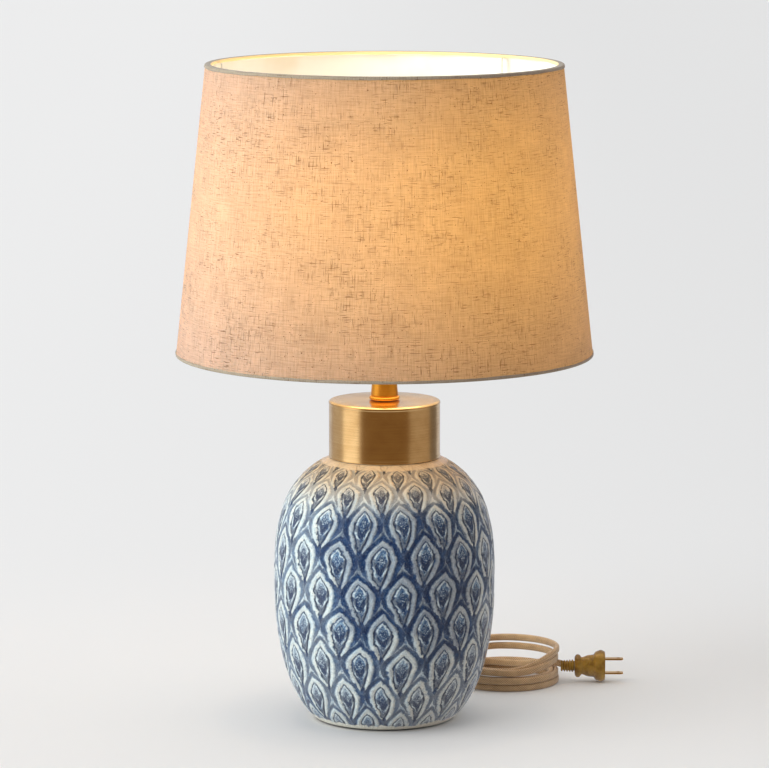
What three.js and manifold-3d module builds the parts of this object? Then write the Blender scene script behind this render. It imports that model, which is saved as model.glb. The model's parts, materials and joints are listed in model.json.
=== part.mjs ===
// Table lamp: glazed ceramic vase, brass cap and neck, harp, screw-base socket with a turn
// switch, tapered linen drum shade on a three-arm fitter, and a cloth-covered flex with a
// two-blade plug, coiled behind the base.
//
// Units are millimetres. +Z is up, the lamp stands on z = 0 with its axis on the Z axis,
// -Y is the front and the flex leaves at the back, towards +Y.

import * as THREE from 'three';
import { mergeVertices } from 'three/addons/utils/BufferGeometryUtils.js';
import Module from 'manifold-3d';

const wasm = await Module();
wasm.setup();

// ---------------------------------------------------------------- driving dimensions

const GAP = 0.3; // air left between two pieces that touch
const WIDE_SIDES = 40; // facets round the vase, the cap and the shade
const FINE_SIDES = 20; // facets round the small turned pieces

// Ceramic vase: two superellipse quarters that meet at the belly.
const BELLY_RADIUS = 94.2;
const BELLY_HEIGHT = 115.3;
const SHOULDER = { reach: 119.7, rise: 3.2, round: 2.2 };
const LOWER = { reach: 126.6, rise: 1.95, round: 3.7 };
const VASE_BOTTOM = 1.5;
const SHOULDER_TOP = 226.3;
const VASE_WALL = 5.5;
const COLLAR_RADIUS = 43.5;
const COLLAR_TOP = 252;
const FLOOR_UNDERSIDE = 26;
const FLOOR_TOP = 32;
const CORD_HOLE_RADIUS = 5;
const CORD_HOLE_HEIGHT = 11;

// Brass cap and neck.
const CAP_RADIUS = 47.6;
const CAP_TOP = 275.2;
const SHEET_BRASS = 1.2;
const CHECK_RING_RADIUS = 12.95;
const NECK_BASE_RADIUS = 11.5;
const NECK_TOP_RADIUS = 9.6;
const NECK_TOP = 321.6;

// Threaded pipe that clamps the stack together.
const PIPE_RADIUS = 4.8;
const PIPE_BORE = 3.3;
const PIPE_BOTTOM = 14.5;
const PIPE_TOP = 330;
const PIPE_HOLE = 5.2;

// Harp and its saddle.
const HARP_LEG_X = 27;
const HARP_WIDEST_X = 54;
const HARP_WIRE = 1.9;
const HARP_TOP = 522;
const SADDLE_BOTTOM = NECK_TOP + GAP;
const SADDLE_TONGUE_TOP = 340.7;
const SLEEVE_BOTTOM = 334.3;
const SLEEVE_LENGTH = 15.7;

// Socket and bulb.
const SOCKET_RADIUS = 16.6;
const SOCKET_TOP = 383;
const CORE_RADIUS = 14.6;
const CORE_TOP = 354;
const SWITCH_HEIGHT = 343.5;
const BULB_RADIUS = 30;
const BULB_CENTRE = 435.6;

// Shade: its outer face runs straight from the bottom rim to the top rim.
const SHADE_BOTTOM_RADIUS = 177.8;
const SHADE_TOP_RADIUS = 151.5;
const SHADE_BOTTOM = 314.6;
const SHADE_TOP = 561.7;
const BINDING_HEIGHT = 5;
const BINDING_DEPTH = 6;
const BINDING_CLOTH = 0.5;
const RING_WIRE = 1.2;
const HUB_BOTTOM = 526.7;
const HUB_RADIUS = 13;
const ARM_WIRE = 1.5;
const ARM_AZIMUTHS = [45, 165, 285]; // degrees clockwise from the back, seen from above

// Flex, coil and plug.
const CORD_RADIUS = 3;
const INNER_CORD_RADIUS = 2.4;
const CORD_EXIT_Y = 98;
const COIL_CENTRE = { x: 108.5, y: 136 };
const COIL_OUTER = 48.5;
const COIL_INNER = 32;
const COIL_HEIGHT = 27;
const PLUG_HEIGHT = 14.3;
const PLUG_Y = 133;
const BLADE_SPACING = 12.7;
const BLADE = { length: 15.9, width: 6.35, thickness: 1.5, hole: 1.6 };

// ---------------------------------------------------------------- finishes

const finish = (color, roughness, metalness = 0) => ({ color, roughness, metalness });

const FINISH = {
  glaze: finish(0x6f86ad, 0.15),
  brass: finish(0xb98d4c, 0.3, 1),
  zincSteel: finish(0xb4b4b0, 0.4, 1),
  rubber: finish(0x2a2826, 0.8),
  felt: finish(0x4a4642, 0.95),
  linen: finish(0xd8b98c, 0.9),
  binding: finish(0xa99681, 0.9),
  liner: finish(0xf4efe4, 0.6),
  whiteWire: finish(0xe8e4dc, 0.45),
  phenolic: finish(0x1f1b18, 0.45),
  fibre: finish(0xc9a26f, 0.85),
  aluminium: finish(0xc9cacc, 0.3, 1),
  frostedGlass: finish(0xfff3dc, 0.35),
  clothCord: finish(0xbf9c70, 0.85),
  plugPlastic: finish(0xb48a3c, 0.25),
};

const lamp = new THREE.Group();

function addPart(name, solid, look) {
  const { vertProperties, triVerts } = solid.getMesh();
  const geometry = new THREE.BufferGeometry();
  geometry.setAttribute('position', new THREE.BufferAttribute(vertProperties, 3));
  geometry.setIndex(new THREE.BufferAttribute(triVerts, 1));
  geometry.computeVertexNormals();
  const part = new THREE.Mesh(geometry, new THREE.MeshStandardMaterial(look));
  part.name = name;
  lamp.add(part);
}

// ---------------------------------------------------------------- shape helpers

// A closed geometry as a solid, with its faces turned outwards whichever way they were.
function solidFrom(geometry) {
  const bare = geometry.clone();
  bare.deleteAttribute('normal');
  bare.deleteAttribute('uv');
  const merged = mergeVertices(bare, 1e-3);
  const vertProperties = merged.attributes.position.array;
  const triVerts = new Uint32Array(merged.index.array);
  const solid = new wasm.Manifold(new wasm.Mesh({ numProp: 3, vertProperties, triVerts }));
  if (solid.volume() > 0) return solid;
  const turned = triVerts.reverse();
  return new wasm.Manifold(new wasm.Mesh({ numProp: 3, vertProperties, triVerts: turned }));
}

// Turns a profile of [radius, height] points about the Z axis.
function turned(profile, segments = FINE_SIDES) {
  const points = profile.map(([radius, height]) => new THREE.Vector2(radius, height));
  return solidFrom(new THREE.LatheGeometry(points, segments).rotateX(Math.PI / 2));
}

// The same, for a wall whose profile closes on itself.
function turnedRing(profile, segments = FINE_SIDES) {
  return turned([...profile, profile[0]], segments);
}

function washer(inner, outer, bottom, top, segments = FINE_SIDES) {
  return turnedRing([[inner, bottom], [outer, bottom], [outer, top], [inner, top]], segments);
}

function disc(radius, bottom, top, segments = FINE_SIDES) {
  return turned([[0, bottom], [radius, bottom], [radius, top], [0, top]], segments);
}

function torus(radius, wire, height) {
  return solidFrom(new THREE.TorusGeometry(radius, wire, 6, WIDE_SIDES).translate(0, 0, height));
}

// Bores along Y and X: a plain cylinder between two places on that axis.
function cylinderAlongY(radius, from, to, x, z, segments = 16) {
  const geometry = new THREE.CylinderGeometry(radius, radius, to - from, segments);
  return solidFrom(geometry.translate(x, (from + to) / 2, z));
}

function cylinderAlongX(radius, from, to, y, z, segments = 16) {
  const geometry = new THREE.CylinderGeometry(radius, radius, to - from, segments);
  return solidFrom(geometry.rotateZ(Math.PI / 2).translate((from + to) / 2, y, z));
}

// A round wire or flex along a curve.
function wireAlong(curve, radius, steps, sides = 8) {
  const section = new THREE.Shape().absarc(0, 0, radius, 0, 2 * Math.PI);
  const options = { extrudePath: curve, steps, curveSegments: sides / 2, bevelEnabled: false };
  return solidFrom(new THREE.ExtrudeGeometry(section, options));
}

const point = (x, y, z) => new THREE.Vector3(x, y, z);

// ---------------------------------------------------------------- vase

// Radius of the glazed outside at a height: each quarter is a superellipse.
function vaseRadius(height) {
  const { reach, rise, round } = height > BELLY_HEIGHT ? SHOULDER : LOWER;
  const share = Math.abs(height - BELLY_HEIGHT) / reach;
  return BELLY_RADIUS * (1 - share ** rise) ** (1 / round);
}

// A point of the wall, set in from the glazed outside along the surface's normal.
function wallPoint(height, depth) {
  const step = 0.05;
  const slope = (vaseRadius(height + step) - vaseRadius(height - step)) / (2 * step);
  const length = Math.hypot(1, slope);
  return [vaseRadius(height) - depth / length, height + (depth * slope) / length];
}

function wallHeights(from, to, count) {
  return Array.from({ length: count }, (_, i) => from + ((to - from) * i) / (count - 1));
}

function vase() {
  const flare = (t) => SHOULDER_TOP - (SHOULDER_TOP - BELLY_HEIGHT) * (1 - t) ** 1.8;
  const outsideLow = wallHeights(VASE_BOTTOM, BELLY_HEIGHT, 7);
  const outsideHigh = wallHeights(0.13, 1, 8).map(flare);
  const outside = [...outsideLow, ...outsideHigh].map((height) => [vaseRadius(height), height]);
  const insideHigh = wallHeights(0.96, 0.16, 5).map(flare);
  const insideLow = wallHeights(BELLY_HEIGHT, FLOOR_TOP + 4, 3);
  const inside = [...insideHigh, ...insideLow].map((height) => wallPoint(height, VASE_WALL));
  const [underRadius] = wallPoint(FLOOR_UNDERSIDE, VASE_WALL);
  const [bottomRadius] = wallPoint(VASE_BOTTOM, VASE_WALL);
  const collarInside = COLLAR_RADIUS - VASE_WALL;
  const profile = [
    ...outside,
    [COLLAR_RADIUS, SHOULDER_TOP],
    [COLLAR_RADIUS, COLLAR_TOP],
    [collarInside, COLLAR_TOP],
    [collarInside, SHOULDER_TOP - VASE_WALL],
    ...inside,
    [wallPoint(FLOOR_TOP, VASE_WALL)[0], FLOOR_TOP],
    [PIPE_HOLE + 0.6, FLOOR_TOP],
    [PIPE_HOLE + 0.6, FLOOR_UNDERSIDE],
    [underRadius, FLOOR_UNDERSIDE],
    [bottomRadius, VASE_BOTTOM],
  ];
  const cordHole = cylinderAlongY(CORD_HOLE_RADIUS, 45, 80, 0, CORD_HOLE_HEIGHT);
  return turnedRing(profile, WIDE_SIDES).subtract(cordHole);
}

// Tapered boot that carries the flex out through the wall.
function cordBoot() {
  const flange = [[0, 51.2], [6.4, 51.2], [6.4, 52.8], [4.6, 53.4]];
  const barrel = [[4.6, 75], [3.5, CORD_EXIT_Y - GAP], [0, CORD_EXIT_Y - GAP]];
  const boot = turned([...flange, ...barrel], 16);
  return boot.rotate([-90, 0, 0]).translate([0, 0, CORD_HOLE_HEIGHT]);
}

function hexNut(acrossFlats, bore, bottom, top) {
  const corner = acrossFlats / Math.sqrt(3);
  return disc(corner, bottom, top, 6).subtract(disc(bore, bottom - 1, top + 1, 20));
}

function addVaseAndStack() {
  addPart('ceramic_vase', vase(), FINISH.glaze);
  addPart('felt_pad', disc(56, 0, VASE_BOTTOM - GAP, WIDE_SIDES), FINISH.felt);
  addPart('cord_boot', cordBoot(), FINISH.plugPlastic);
  const rubberTop = FLOOR_UNDERSIDE - GAP;
  addPart('rubber_washer', washer(PIPE_HOLE, 20, rubberTop - 1.5, rubberTop), FINISH.rubber);
  const steelTop = rubberTop - 1.5 - GAP;
  addPart('steel_washer', washer(PIPE_HOLE, 18, steelTop - 1.5, steelTop), FINISH.zincSteel);
  const nutTop = steelTop - 1.5 - GAP;
  addPart('bottom_nut', hexNut(16, PIPE_HOLE, nutTop - 5, nutTop), FINISH.zincSteel);
  addPart('threaded_pipe', washer(PIPE_BORE, PIPE_RADIUS, PIPE_BOTTOM, PIPE_TOP, 20), FINISH.zincSteel);
}

// ---------------------------------------------------------------- brass cap and neck

function addCapAndNeck() {
  const inside = CAP_RADIUS - SHEET_BRASS;
  const skirt = SHOULDER_TOP + GAP;
  const cap = turnedRing([
    [inside, skirt], [CAP_RADIUS, skirt], [CAP_RADIUS, CAP_TOP - 1], [CAP_RADIUS - 0.3, CAP_TOP - 0.3],
    [CAP_RADIUS - 1, CAP_TOP], [PIPE_HOLE, CAP_TOP], [PIPE_HOLE, CAP_TOP - SHEET_BRASS],
    [inside, CAP_TOP - SHEET_BRASS],
  ], WIDE_SIDES);
  addPart('brass_cap', cap, FINISH.brass);

  const seat = CAP_TOP + GAP;
  addPart('cap_locknut', hexNut(13.5, PIPE_HOLE, seat, seat + 3.5), FINISH.zincSteel);

  const bead = 3.2;
  const beadProfile = [
    [9.4, seat], [12.2, seat], [CHECK_RING_RADIUS, seat + bead * 0.3],
    [CHECK_RING_RADIUS, seat + bead * 0.7], [12.2, seat + bead], [9.4, seat + bead],
  ];
  addPart('check_ring', turnedRing(beadProfile), FINISH.brass);

  const neckBase = seat + bead + GAP;
  const wall = 1.4;
  const neck = turnedRing([
    [NECK_BASE_RADIUS - wall, neckBase], [NECK_BASE_RADIUS, neckBase], [10.65, 290.5],
    [NECK_TOP_RADIUS, 308], [NECK_TOP_RADIUS, NECK_TOP], [NECK_TOP_RADIUS - wall, NECK_TOP],
    [NECK_TOP_RADIUS - wall, 308], [10.65 - wall, 290.5],
  ]);
  addPart('neck_tube', neck, FINISH.brass);
}

// ---------------------------------------------------------------- harp

function saddle() {
  const top = SADDLE_BOTTOM + 2;
  const outline = new THREE.Shape();
  outline.moveTo(-14, SADDLE_BOTTOM);
  outline.lineTo(14, SADDLE_BOTTOM);
  outline.lineTo(HARP_LEG_X + 1, 330.5);
  outline.lineTo(HARP_LEG_X + 1, 334);
  outline.lineTo(HARP_LEG_X - 1, 334);
  outline.lineTo(HARP_LEG_X - 1, 331.4);
  outline.lineTo(13.4, top);
  outline.lineTo(-13.4, top);
  outline.lineTo(1 - HARP_LEG_X, 331.4);
  outline.lineTo(1 - HARP_LEG_X, 334);
  outline.lineTo(-HARP_LEG_X - 1, 334);
  outline.lineTo(-HARP_LEG_X - 1, 330.5);
  const width = 12;
  const strip = new THREE.ExtrudeGeometry(outline, { depth: width, bevelEnabled: false });
  const bent = solidFrom(strip.rotateX(Math.PI / 2).translate(0, width / 2, 0));
  const tongue = disc(2.2, 333, SADDLE_TONGUE_TOP, 12);
  return bent
    .add(tongue.translate([HARP_LEG_X, 0, 0]))
    .add(tongue.translate([-HARP_LEG_X, 0, 0]))
    .subtract(disc(PIPE_HOLE, SADDLE_BOTTOM - 1, top + 1, 20));
}

// One wire: straight leg, bow out, bow in and a flat top, then the same mirrored.
function harpPath() {
  const foot = SADDLE_TONGUE_TOP + GAP;
  const legTop = 374;
  const bulge = 440;
  const side = (s) => [
    new THREE.LineCurve3(point(s * HARP_LEG_X, 0, foot), point(s * HARP_LEG_X, 0, legTop)),
    new THREE.CubicBezierCurve3(
      point(s * HARP_LEG_X, 0, legTop), point(s * HARP_LEG_X, 0, 396),
      point(s * HARP_WIDEST_X, 0, 405), point(s * HARP_WIDEST_X, 0, bulge)),
    new THREE.CubicBezierCurve3(
      point(s * HARP_WIDEST_X, 0, bulge), point(s * HARP_WIDEST_X, 0, 490),
      point(s * 38, 0, HARP_TOP), point(s * 12, 0, HARP_TOP)),
  ];
  const flip = (curve) => (curve.isLineCurve3
    ? new THREE.LineCurve3(curve.v2, curve.v1)
    : new THREE.CubicBezierCurve3(curve.v3, curve.v2, curve.v1, curve.v0));
  const path = new THREE.CurvePath();
  side(1).forEach((curve) => path.add(curve));
  path.add(new THREE.LineCurve3(point(12, 0, HARP_TOP), point(-12, 0, HARP_TOP)));
  side(-1).reverse().forEach((curve) => path.add(flip(curve)));
  return path;
}

function addHarp() {
  addPart('harp_saddle', saddle(), FINISH.brass);
  addPart('harp_bow', wireAlong(harpPath(), HARP_WIRE, 44), FINISH.brass);
  for (const [side, sign] of [['left', -1], ['right', 1]]) {
    const sleeve = washer(2.9, 4.3, SLEEVE_BOTTOM, SLEEVE_BOTTOM + SLEEVE_LENGTH, 16);
    addPart(`harp_sleeve_${side}`, sleeve.translate([sign * HARP_LEG_X, 0, 0]), FINISH.brass);
  }
  const seat = HARP_TOP + HARP_WIRE + GAP;
  const collarTop = HUB_BOTTOM - GAP;
  const studProfile = [[0, seat], [6.2, seat], [6.2, collarTop], [3.05, collarTop], [3.05, 541], [0, 541]];
  addPart('harp_stud', turned(studProfile, 20), FINISH.brass);
}

// ---------------------------------------------------------------- socket and switch

function switchBore(radius) {
  return cylinderAlongY(radius, -25, -7, 0, SWITCH_HEIGHT);
}

function addSocket() {
  const capTop = 337;
  const capSeat = SADDLE_BOTTOM + 2 + GAP;
  const bell = turnedRing([
    [PIPE_HOLE, capSeat], [8, capSeat], [12, capSeat + 1.4], [15.5, capSeat + 4.2], [17.1, 332],
    [17.1, capTop], [16.4, capTop], [16.4, 332.4], [14.9, 329.4], [11.5, 326.8], [8, 325.9],
    [8, 331], [PIPE_HOLE, 331],
  ]);
  addPart('socket_cap', bell, FINISH.brass);

  const shell = washer(SOCKET_RADIUS - 0.6, SOCKET_RADIUS, capTop + GAP, SOCKET_TOP);
  addPart('socket_shell', shell.subtract(switchBore(3)), FINISH.brass);
  const liner = washer(15, 15.7, capTop + 1, SOCKET_TOP - 1);
  addPart('socket_liner', liner.subtract(switchBore(3)), FINISH.fibre);

  const screwPocket = cylinderAlongX(2.9, 11, 20, 0, SWITCH_HEIGHT);
  const core = disc(CORE_RADIUS, 333, CORE_TOP)
    .subtract(switchBore(2.6))
    .subtract(screwPocket)
    .subtract(screwPocket.rotate([0, 0, 180]));
  addPart('socket_core', core, FINISH.phenolic);
  for (const [name, sign] of [['terminal_screw_live', 1], ['terminal_screw_neutral', -1]]) {
    const from = sign > 0 ? 11.3 : -14;
    addPart(name, cylinderAlongX(2.5, from, from + 2.7, 0, SWITCH_HEIGHT, 12), FINISH.brass);
  }
  addPart('screw_shell', washer(13.6, 14.3, CORE_TOP + 0.6, SOCKET_TOP - 2), FINISH.aluminium);
  addPart('centre_contact', disc(3.2, CORE_TOP + GAP, CORE_TOP + 1.2, 16), FINISH.brass);

  const shaftEnd = -31;
  addPart('switch_shaft', cylinderAlongY(2, shaftEnd, -8, 0, SWITCH_HEIGHT, 12), FINISH.brass);
  const knobLength = 12;
  const knob = turned([[0, 0], [5, 0], [5.6, 1.2], [5.6, knobLength - 1], [4.6, knobLength], [0, knobLength]], 16);
  const placed = knob.rotate([90, 0, 0]).translate([0, shaftEnd - GAP, SWITCH_HEIGHT]);
  addPart('switch_knob', placed, FINISH.phenolic);
}

// ---------------------------------------------------------------- bulb

function bulbGlass(baseTop) {
  const arcPoint = (radius, degrees) => {
    const angle = THREE.MathUtils.degToRad(degrees);
    return [radius * Math.cos(angle), BULB_CENTRE + radius * Math.sin(angle)];
  };
  const steps = wallHeights(-48, 90, 7);
  const outer = steps.map((degrees) => arcPoint(BULB_RADIUS, degrees));
  const inner = steps.map((degrees) => arcPoint(BULB_RADIUS - 1, degrees)).reverse();
  outer[outer.length - 1][0] = 0;
  inner[0][0] = 0;
  const neckOuter = [[13, baseTop], [13.6, 392], [15.6, 403]];
  const neckInner = [[14.6, 403], [12.6, 392], [12, baseTop]];
  return turned([...inner, ...neckInner, ...neckOuter, ...outer]);
}

function addBulb() {
  const contactTop = 357;
  addPart('bulb_contact', disc(4.4, CORE_TOP + 1.6, contactTop, 16), FINISH.aluminium);
  const sleeve = turned([
    [0, contactTop + GAP], [8, contactTop + GAP], [13.1, 361], [13.1, 380], [12.6, 382.2], [0, 382.2],
  ]);
  addPart('bulb_base', sleeve, FINISH.aluminium);
  addPart('bulb_glass', bulbGlass(382.5), FINISH.frostedGlass);
}

// ---------------------------------------------------------------- shade

// Radius of the shade's outer face at a height.
function shadeRadius(height) {
  const share = (height - SHADE_BOTTOM) / (SHADE_TOP - SHADE_BOTTOM);
  return SHADE_BOTTOM_RADIUS + (SHADE_TOP_RADIUS - SHADE_BOTTOM_RADIUS) * share;
}

// A conical skin between two depths below the shade's outer face.
function shadeSkin(outerDepth, innerDepth, bottom, top) {
  const profile = [
    [shadeRadius(bottom) - innerDepth, bottom], [shadeRadius(bottom) - outerDepth, bottom],
    [shadeRadius(top) - outerDepth, top], [shadeRadius(top) - innerDepth, top],
  ];
  return turnedRing(profile, WIDE_SIDES);
}

// Cloth folded over a rim: down the outside, over the edge and up the inside.
function binding(edge, inward) {
  const far = edge + inward * BINDING_HEIGHT;
  const fold = edge + inward * BINDING_CLOTH;
  const inner = BINDING_DEPTH - BINDING_CLOTH;
  const profile = [
    [shadeRadius(far), far], [shadeRadius(edge), edge], [shadeRadius(edge) - BINDING_DEPTH, edge],
    [shadeRadius(far) - BINDING_DEPTH, far], [shadeRadius(far) - inner, far],
    [shadeRadius(fold) - inner, fold], [shadeRadius(fold) - BINDING_CLOTH, fold],
    [shadeRadius(far) - BINDING_CLOTH, far],
  ];
  return turnedRing(profile, WIDE_SIDES);
}

// From the hub out to the rim, then up the inside of the shade.
function armPath() {
  const reach = shadeRadius(SHADE_TOP) - BINDING_DEPTH - GAP - ARM_WIRE - 1;
  const lift = HUB_BOTTOM + 1;
  const bend = 534;
  const path = new THREE.CurvePath();
  path.add(new THREE.LineCurve3(point(HUB_RADIUS + GAP, 0, lift), point(reach - 9, 0, bend - 0.5)));
  path.add(new THREE.QuadraticBezierCurve3(
    point(reach - 9, 0, bend - 0.5), point(reach, 0, bend), point(reach, 0, bend + 9)));
  path.add(new THREE.LineCurve3(point(reach, 0, bend + 9), point(reach, 0, SHADE_TOP - 3)));
  return path;
}

function finial() {
  const bore = 3.35;
  const base = HUB_BOTTOM + 2 + GAP;
  return turned([
    [0, 541.6], [bore, 541.6], [bore, base], [8.2, base], [8.2, base + 1.6], [5.2, base + 3.2],
    [5.2, base + 4.6], [8.4, base + 7.2], [9, base + 10], [8.2, base + 13.5], [5.4, base + 16.2],
    [0, base + 17],
  ], 24);
}

function addShade() {
  const inset = 0.9;
  const low = SHADE_BOTTOM + inset;
  const high = SHADE_TOP - inset;
  addPart('shade_cover', shadeSkin(0.8, 1.5, low, high), FINISH.linen);
  addPart('shade_liner', shadeSkin(1.8, 2.4, low, high), FINISH.liner);
  addPart('top_binding', binding(SHADE_TOP, -1), FINISH.binding);
  addPart('bottom_binding', binding(SHADE_BOTTOM, 1), FINISH.binding);
  for (const [name, height] of [['top_ring_wire', high - RING_WIRE], ['bottom_ring_wire', low + RING_WIRE]]) {
    const radius = shadeRadius(height) - 2.75 - RING_WIRE;
    addPart(name, torus(radius, RING_WIRE, height), FINISH.whiteWire);
  }
  addPart('fitter_hub', washer(5.5, HUB_RADIUS, HUB_BOTTOM, HUB_BOTTOM + 2, 24), FINISH.whiteWire);
  const arm = wireAlong(armPath(), ARM_WIRE, 14);
  ARM_AZIMUTHS.forEach((azimuth, index) => {
    addPart(`fitter_arm_${index + 1}`, arm.rotate([0, 0, 90 - azimuth]), FINISH.whiteWire);
  });
  addPart('finial', finial(), FINISH.brass);
}

// ---------------------------------------------------------------- flex and plug

// Inside the lamp: from the boot across the foot, then up the pipe to the socket.
const INNER_ROUTE = [
  point(0, 50.9, CORD_HOLE_HEIGHT), point(0, 40, 9.6), point(0, 26, 6), point(0, 13, 4.4),
  point(0, 5.2, 4.9), point(0, 1.2, 8.2), point(0, 0, 13), point(0, 0, 20), point(0, 0, 60),
  point(0, 0, 120), point(0, 0, 190), point(0, 0, 260), point(0, 0, 332.6),
];

// Outside: straight out of the boot, down to the table, and round to the coil's back.
const LEAD_ROUTE = [
  point(0, CORD_EXIT_Y, CORD_HOLE_HEIGHT), point(0, 108, 10.6), point(1, 120, 7.8),
  point(4.5, 134, 4.6), point(12, 149, 3.2), point(24, 163, 3.1), point(40, 173.5, 3.1),
  point(58, 179.5, 3.1), point(72, 181.2, 3.1), point(83.5, 181.4, 3.1),
];

function alongX(solid) {
  return solid.rotate([0, 90, 0]);
}

// Plug pieces are turned with eight flats, then flattened front to back.
function plugPiece(profile, segments, flatness) {
  const halfTurn = 180 / segments;
  return alongX(turned(profile, segments).rotate([0, 0, halfTurn]))
    .scale([1, flatness, 1])
    .translate([0, PLUG_Y, PLUG_HEIGHT]);
}

function blade(start, height) {
  const outline = new THREE.Shape();
  const half = BLADE.width / 2;
  outline.moveTo(0, -half);
  outline.lineTo(BLADE.length - 1.5, -half);
  outline.lineTo(BLADE.length, -half + 1.5);
  outline.lineTo(BLADE.length, half - 1.5);
  outline.lineTo(BLADE.length - 1.5, half);
  outline.lineTo(0, half);
  const hole = new THREE.Path().absarc(BLADE.length - 4.2, 0, BLADE.hole, 0, 2 * Math.PI);
  outline.holes.push(hole);
  const options = { depth: BLADE.thickness, bevelEnabled: false, curveSegments: 6 };
  const plate = new THREE.ExtrudeGeometry(outline, options);
  return solidFrom(plate.translate(start, PLUG_Y, height - BLADE.thickness / 2));
}

function addFlex() {
  const innerCurve = new THREE.CatmullRomCurve3(INNER_ROUTE, false, 'centripetal');
  addPart('inner_cord', wireAlong(innerCurve, INNER_CORD_RADIUS, 40), FINISH.clothCord);
  const leadCurve = new THREE.CatmullRomCurve3(LEAD_ROUTE, false, 'centripetal');
  addPart('cord_lead', wireAlong(leadCurve, CORD_RADIUS, 14), FINISH.clothCord);

  const coil = washer(COIL_INNER, COIL_OUTER, 0, COIL_HEIGHT, 40);
  addPart('cord_coil', coil.translate([COIL_CENTRE.x, COIL_CENTRE.y, 0]), FINISH.clothCord);

  const start = COIL_CENTRE.x + COIL_OUTER + GAP;
  const reliefLength = 12;
  const relief = [[0, 0], [4.6, 0], [5.6, reliefLength], [0, reliefLength]];
  const place = (profile, from) => profile.map(([radius, height]) => [radius, height + from]);
  addPart('plug_strain_relief', plugPiece(place(relief, start), 12, 0.7), FINISH.plugPlastic);

  const bodyStart = start + reliefLength + GAP;
  const body = [
    [0, 0], [8.6, 0], [9.8, 1.4], [9.8, 4], [8.8, 5.4], [10.6, 7], [11.4, 18.2], [14.2, 19.6],
    [PLUG_HEIGHT / Math.cos(Math.PI / 8) - 0.4, 20.6], [PLUG_HEIGHT / Math.cos(Math.PI / 8), 22],
    [PLUG_HEIGHT / Math.cos(Math.PI / 8), 26], [14.4, 27], [0, 27],
  ];
  addPart('plug_body', plugPiece(place(body, bodyStart), 8, 0.62), FINISH.plugPlastic);
  const bladeStart = bodyStart + 27 + GAP;
  addPart('plug_blade_upper', blade(bladeStart, PLUG_HEIGHT + BLADE_SPACING / 2), FINISH.brass);
  addPart('plug_blade_lower', blade(bladeStart, PLUG_HEIGHT - BLADE_SPACING / 2), FINISH.brass);
}

addVaseAndStack();
addCapAndNeck();
addHarp();
addSocket();
addBulb();
addShade();
addFlex();

export default lamp;
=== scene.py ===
"""A table lamp with a glazed ceramic body, brass mounts, a linen shade and a coiled cloth flex.

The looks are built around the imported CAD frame. Sizes are millimetres until a mesh is made. The
lamp stands on z = 0 with its axis on Z and its front towards -Y. Azimuth runs round Z from the back.
"""

from __future__ import annotations

import functools  # noqa: E402
import json  # noqa: E402
import logging  # noqa: E402
import math  # noqa: E402
from collections.abc import Sequence  # noqa: E402
from dataclasses import dataclass  # noqa: E402
from enum import Enum  # noqa: E402

import bmesh  # noqa: E402
import bpy  # noqa: E402
import numpy as np  # noqa: E402
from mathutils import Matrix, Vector  # noqa: E402

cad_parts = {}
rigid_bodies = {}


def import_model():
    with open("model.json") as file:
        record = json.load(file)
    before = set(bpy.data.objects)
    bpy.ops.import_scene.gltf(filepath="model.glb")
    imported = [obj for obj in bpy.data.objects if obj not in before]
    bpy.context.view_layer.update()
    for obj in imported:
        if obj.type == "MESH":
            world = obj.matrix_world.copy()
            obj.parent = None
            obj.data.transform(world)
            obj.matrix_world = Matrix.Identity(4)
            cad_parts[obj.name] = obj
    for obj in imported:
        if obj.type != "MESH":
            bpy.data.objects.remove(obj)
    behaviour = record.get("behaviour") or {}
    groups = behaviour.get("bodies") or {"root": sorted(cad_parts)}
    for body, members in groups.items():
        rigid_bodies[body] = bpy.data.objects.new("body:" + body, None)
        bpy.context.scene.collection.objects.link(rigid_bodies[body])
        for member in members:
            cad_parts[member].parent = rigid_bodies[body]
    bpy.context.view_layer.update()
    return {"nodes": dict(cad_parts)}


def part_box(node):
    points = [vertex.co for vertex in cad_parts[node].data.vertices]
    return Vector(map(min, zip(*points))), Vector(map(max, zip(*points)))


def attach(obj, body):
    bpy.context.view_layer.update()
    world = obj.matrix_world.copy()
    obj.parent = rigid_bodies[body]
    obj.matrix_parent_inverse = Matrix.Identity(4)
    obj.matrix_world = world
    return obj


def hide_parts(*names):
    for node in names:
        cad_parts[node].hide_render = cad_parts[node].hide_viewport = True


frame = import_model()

LOG = logging.getLogger("lamp")
MM = 0.001
FULL_TURN = 2.0 * math.pi
UP = np.array([0.0, 0.0, 1.0])
CREASE = 38.0
WELD = 1e-7

Colour = tuple[float, float, float]


def display(red: float, green: float, blue: float) -> Colour:
    """A colour of 0 to 255 display values, as the linear values that a shader takes.

    Args:
        red: the red value.
        green: the green value.
        blue: the blue value.

    Returns:
        The linear colour, by the sRGB curve.
    """
    shown = np.array([red, green, blue]) / 255.0
    linear = np.where(shown <= 0.04045, shown / 12.92, ((shown + 0.055) / 1.055) ** 2.4)
    return tuple(float(c) for c in linear)


# ------------------------------------------------------------------ shader signals


class Space(Enum):
    """What a pattern's place is read from: an output of Texture Coordinate."""

    OBJECT = "Object"
    CLOTH = "UV"
    NORMAL = "Normal"
    SKY = "Generated"


class Blend(Enum):
    """How a Mix node lays its second colour on its first."""

    OVER = "MIX"
    TINT = "MULTIPLY"


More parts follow.
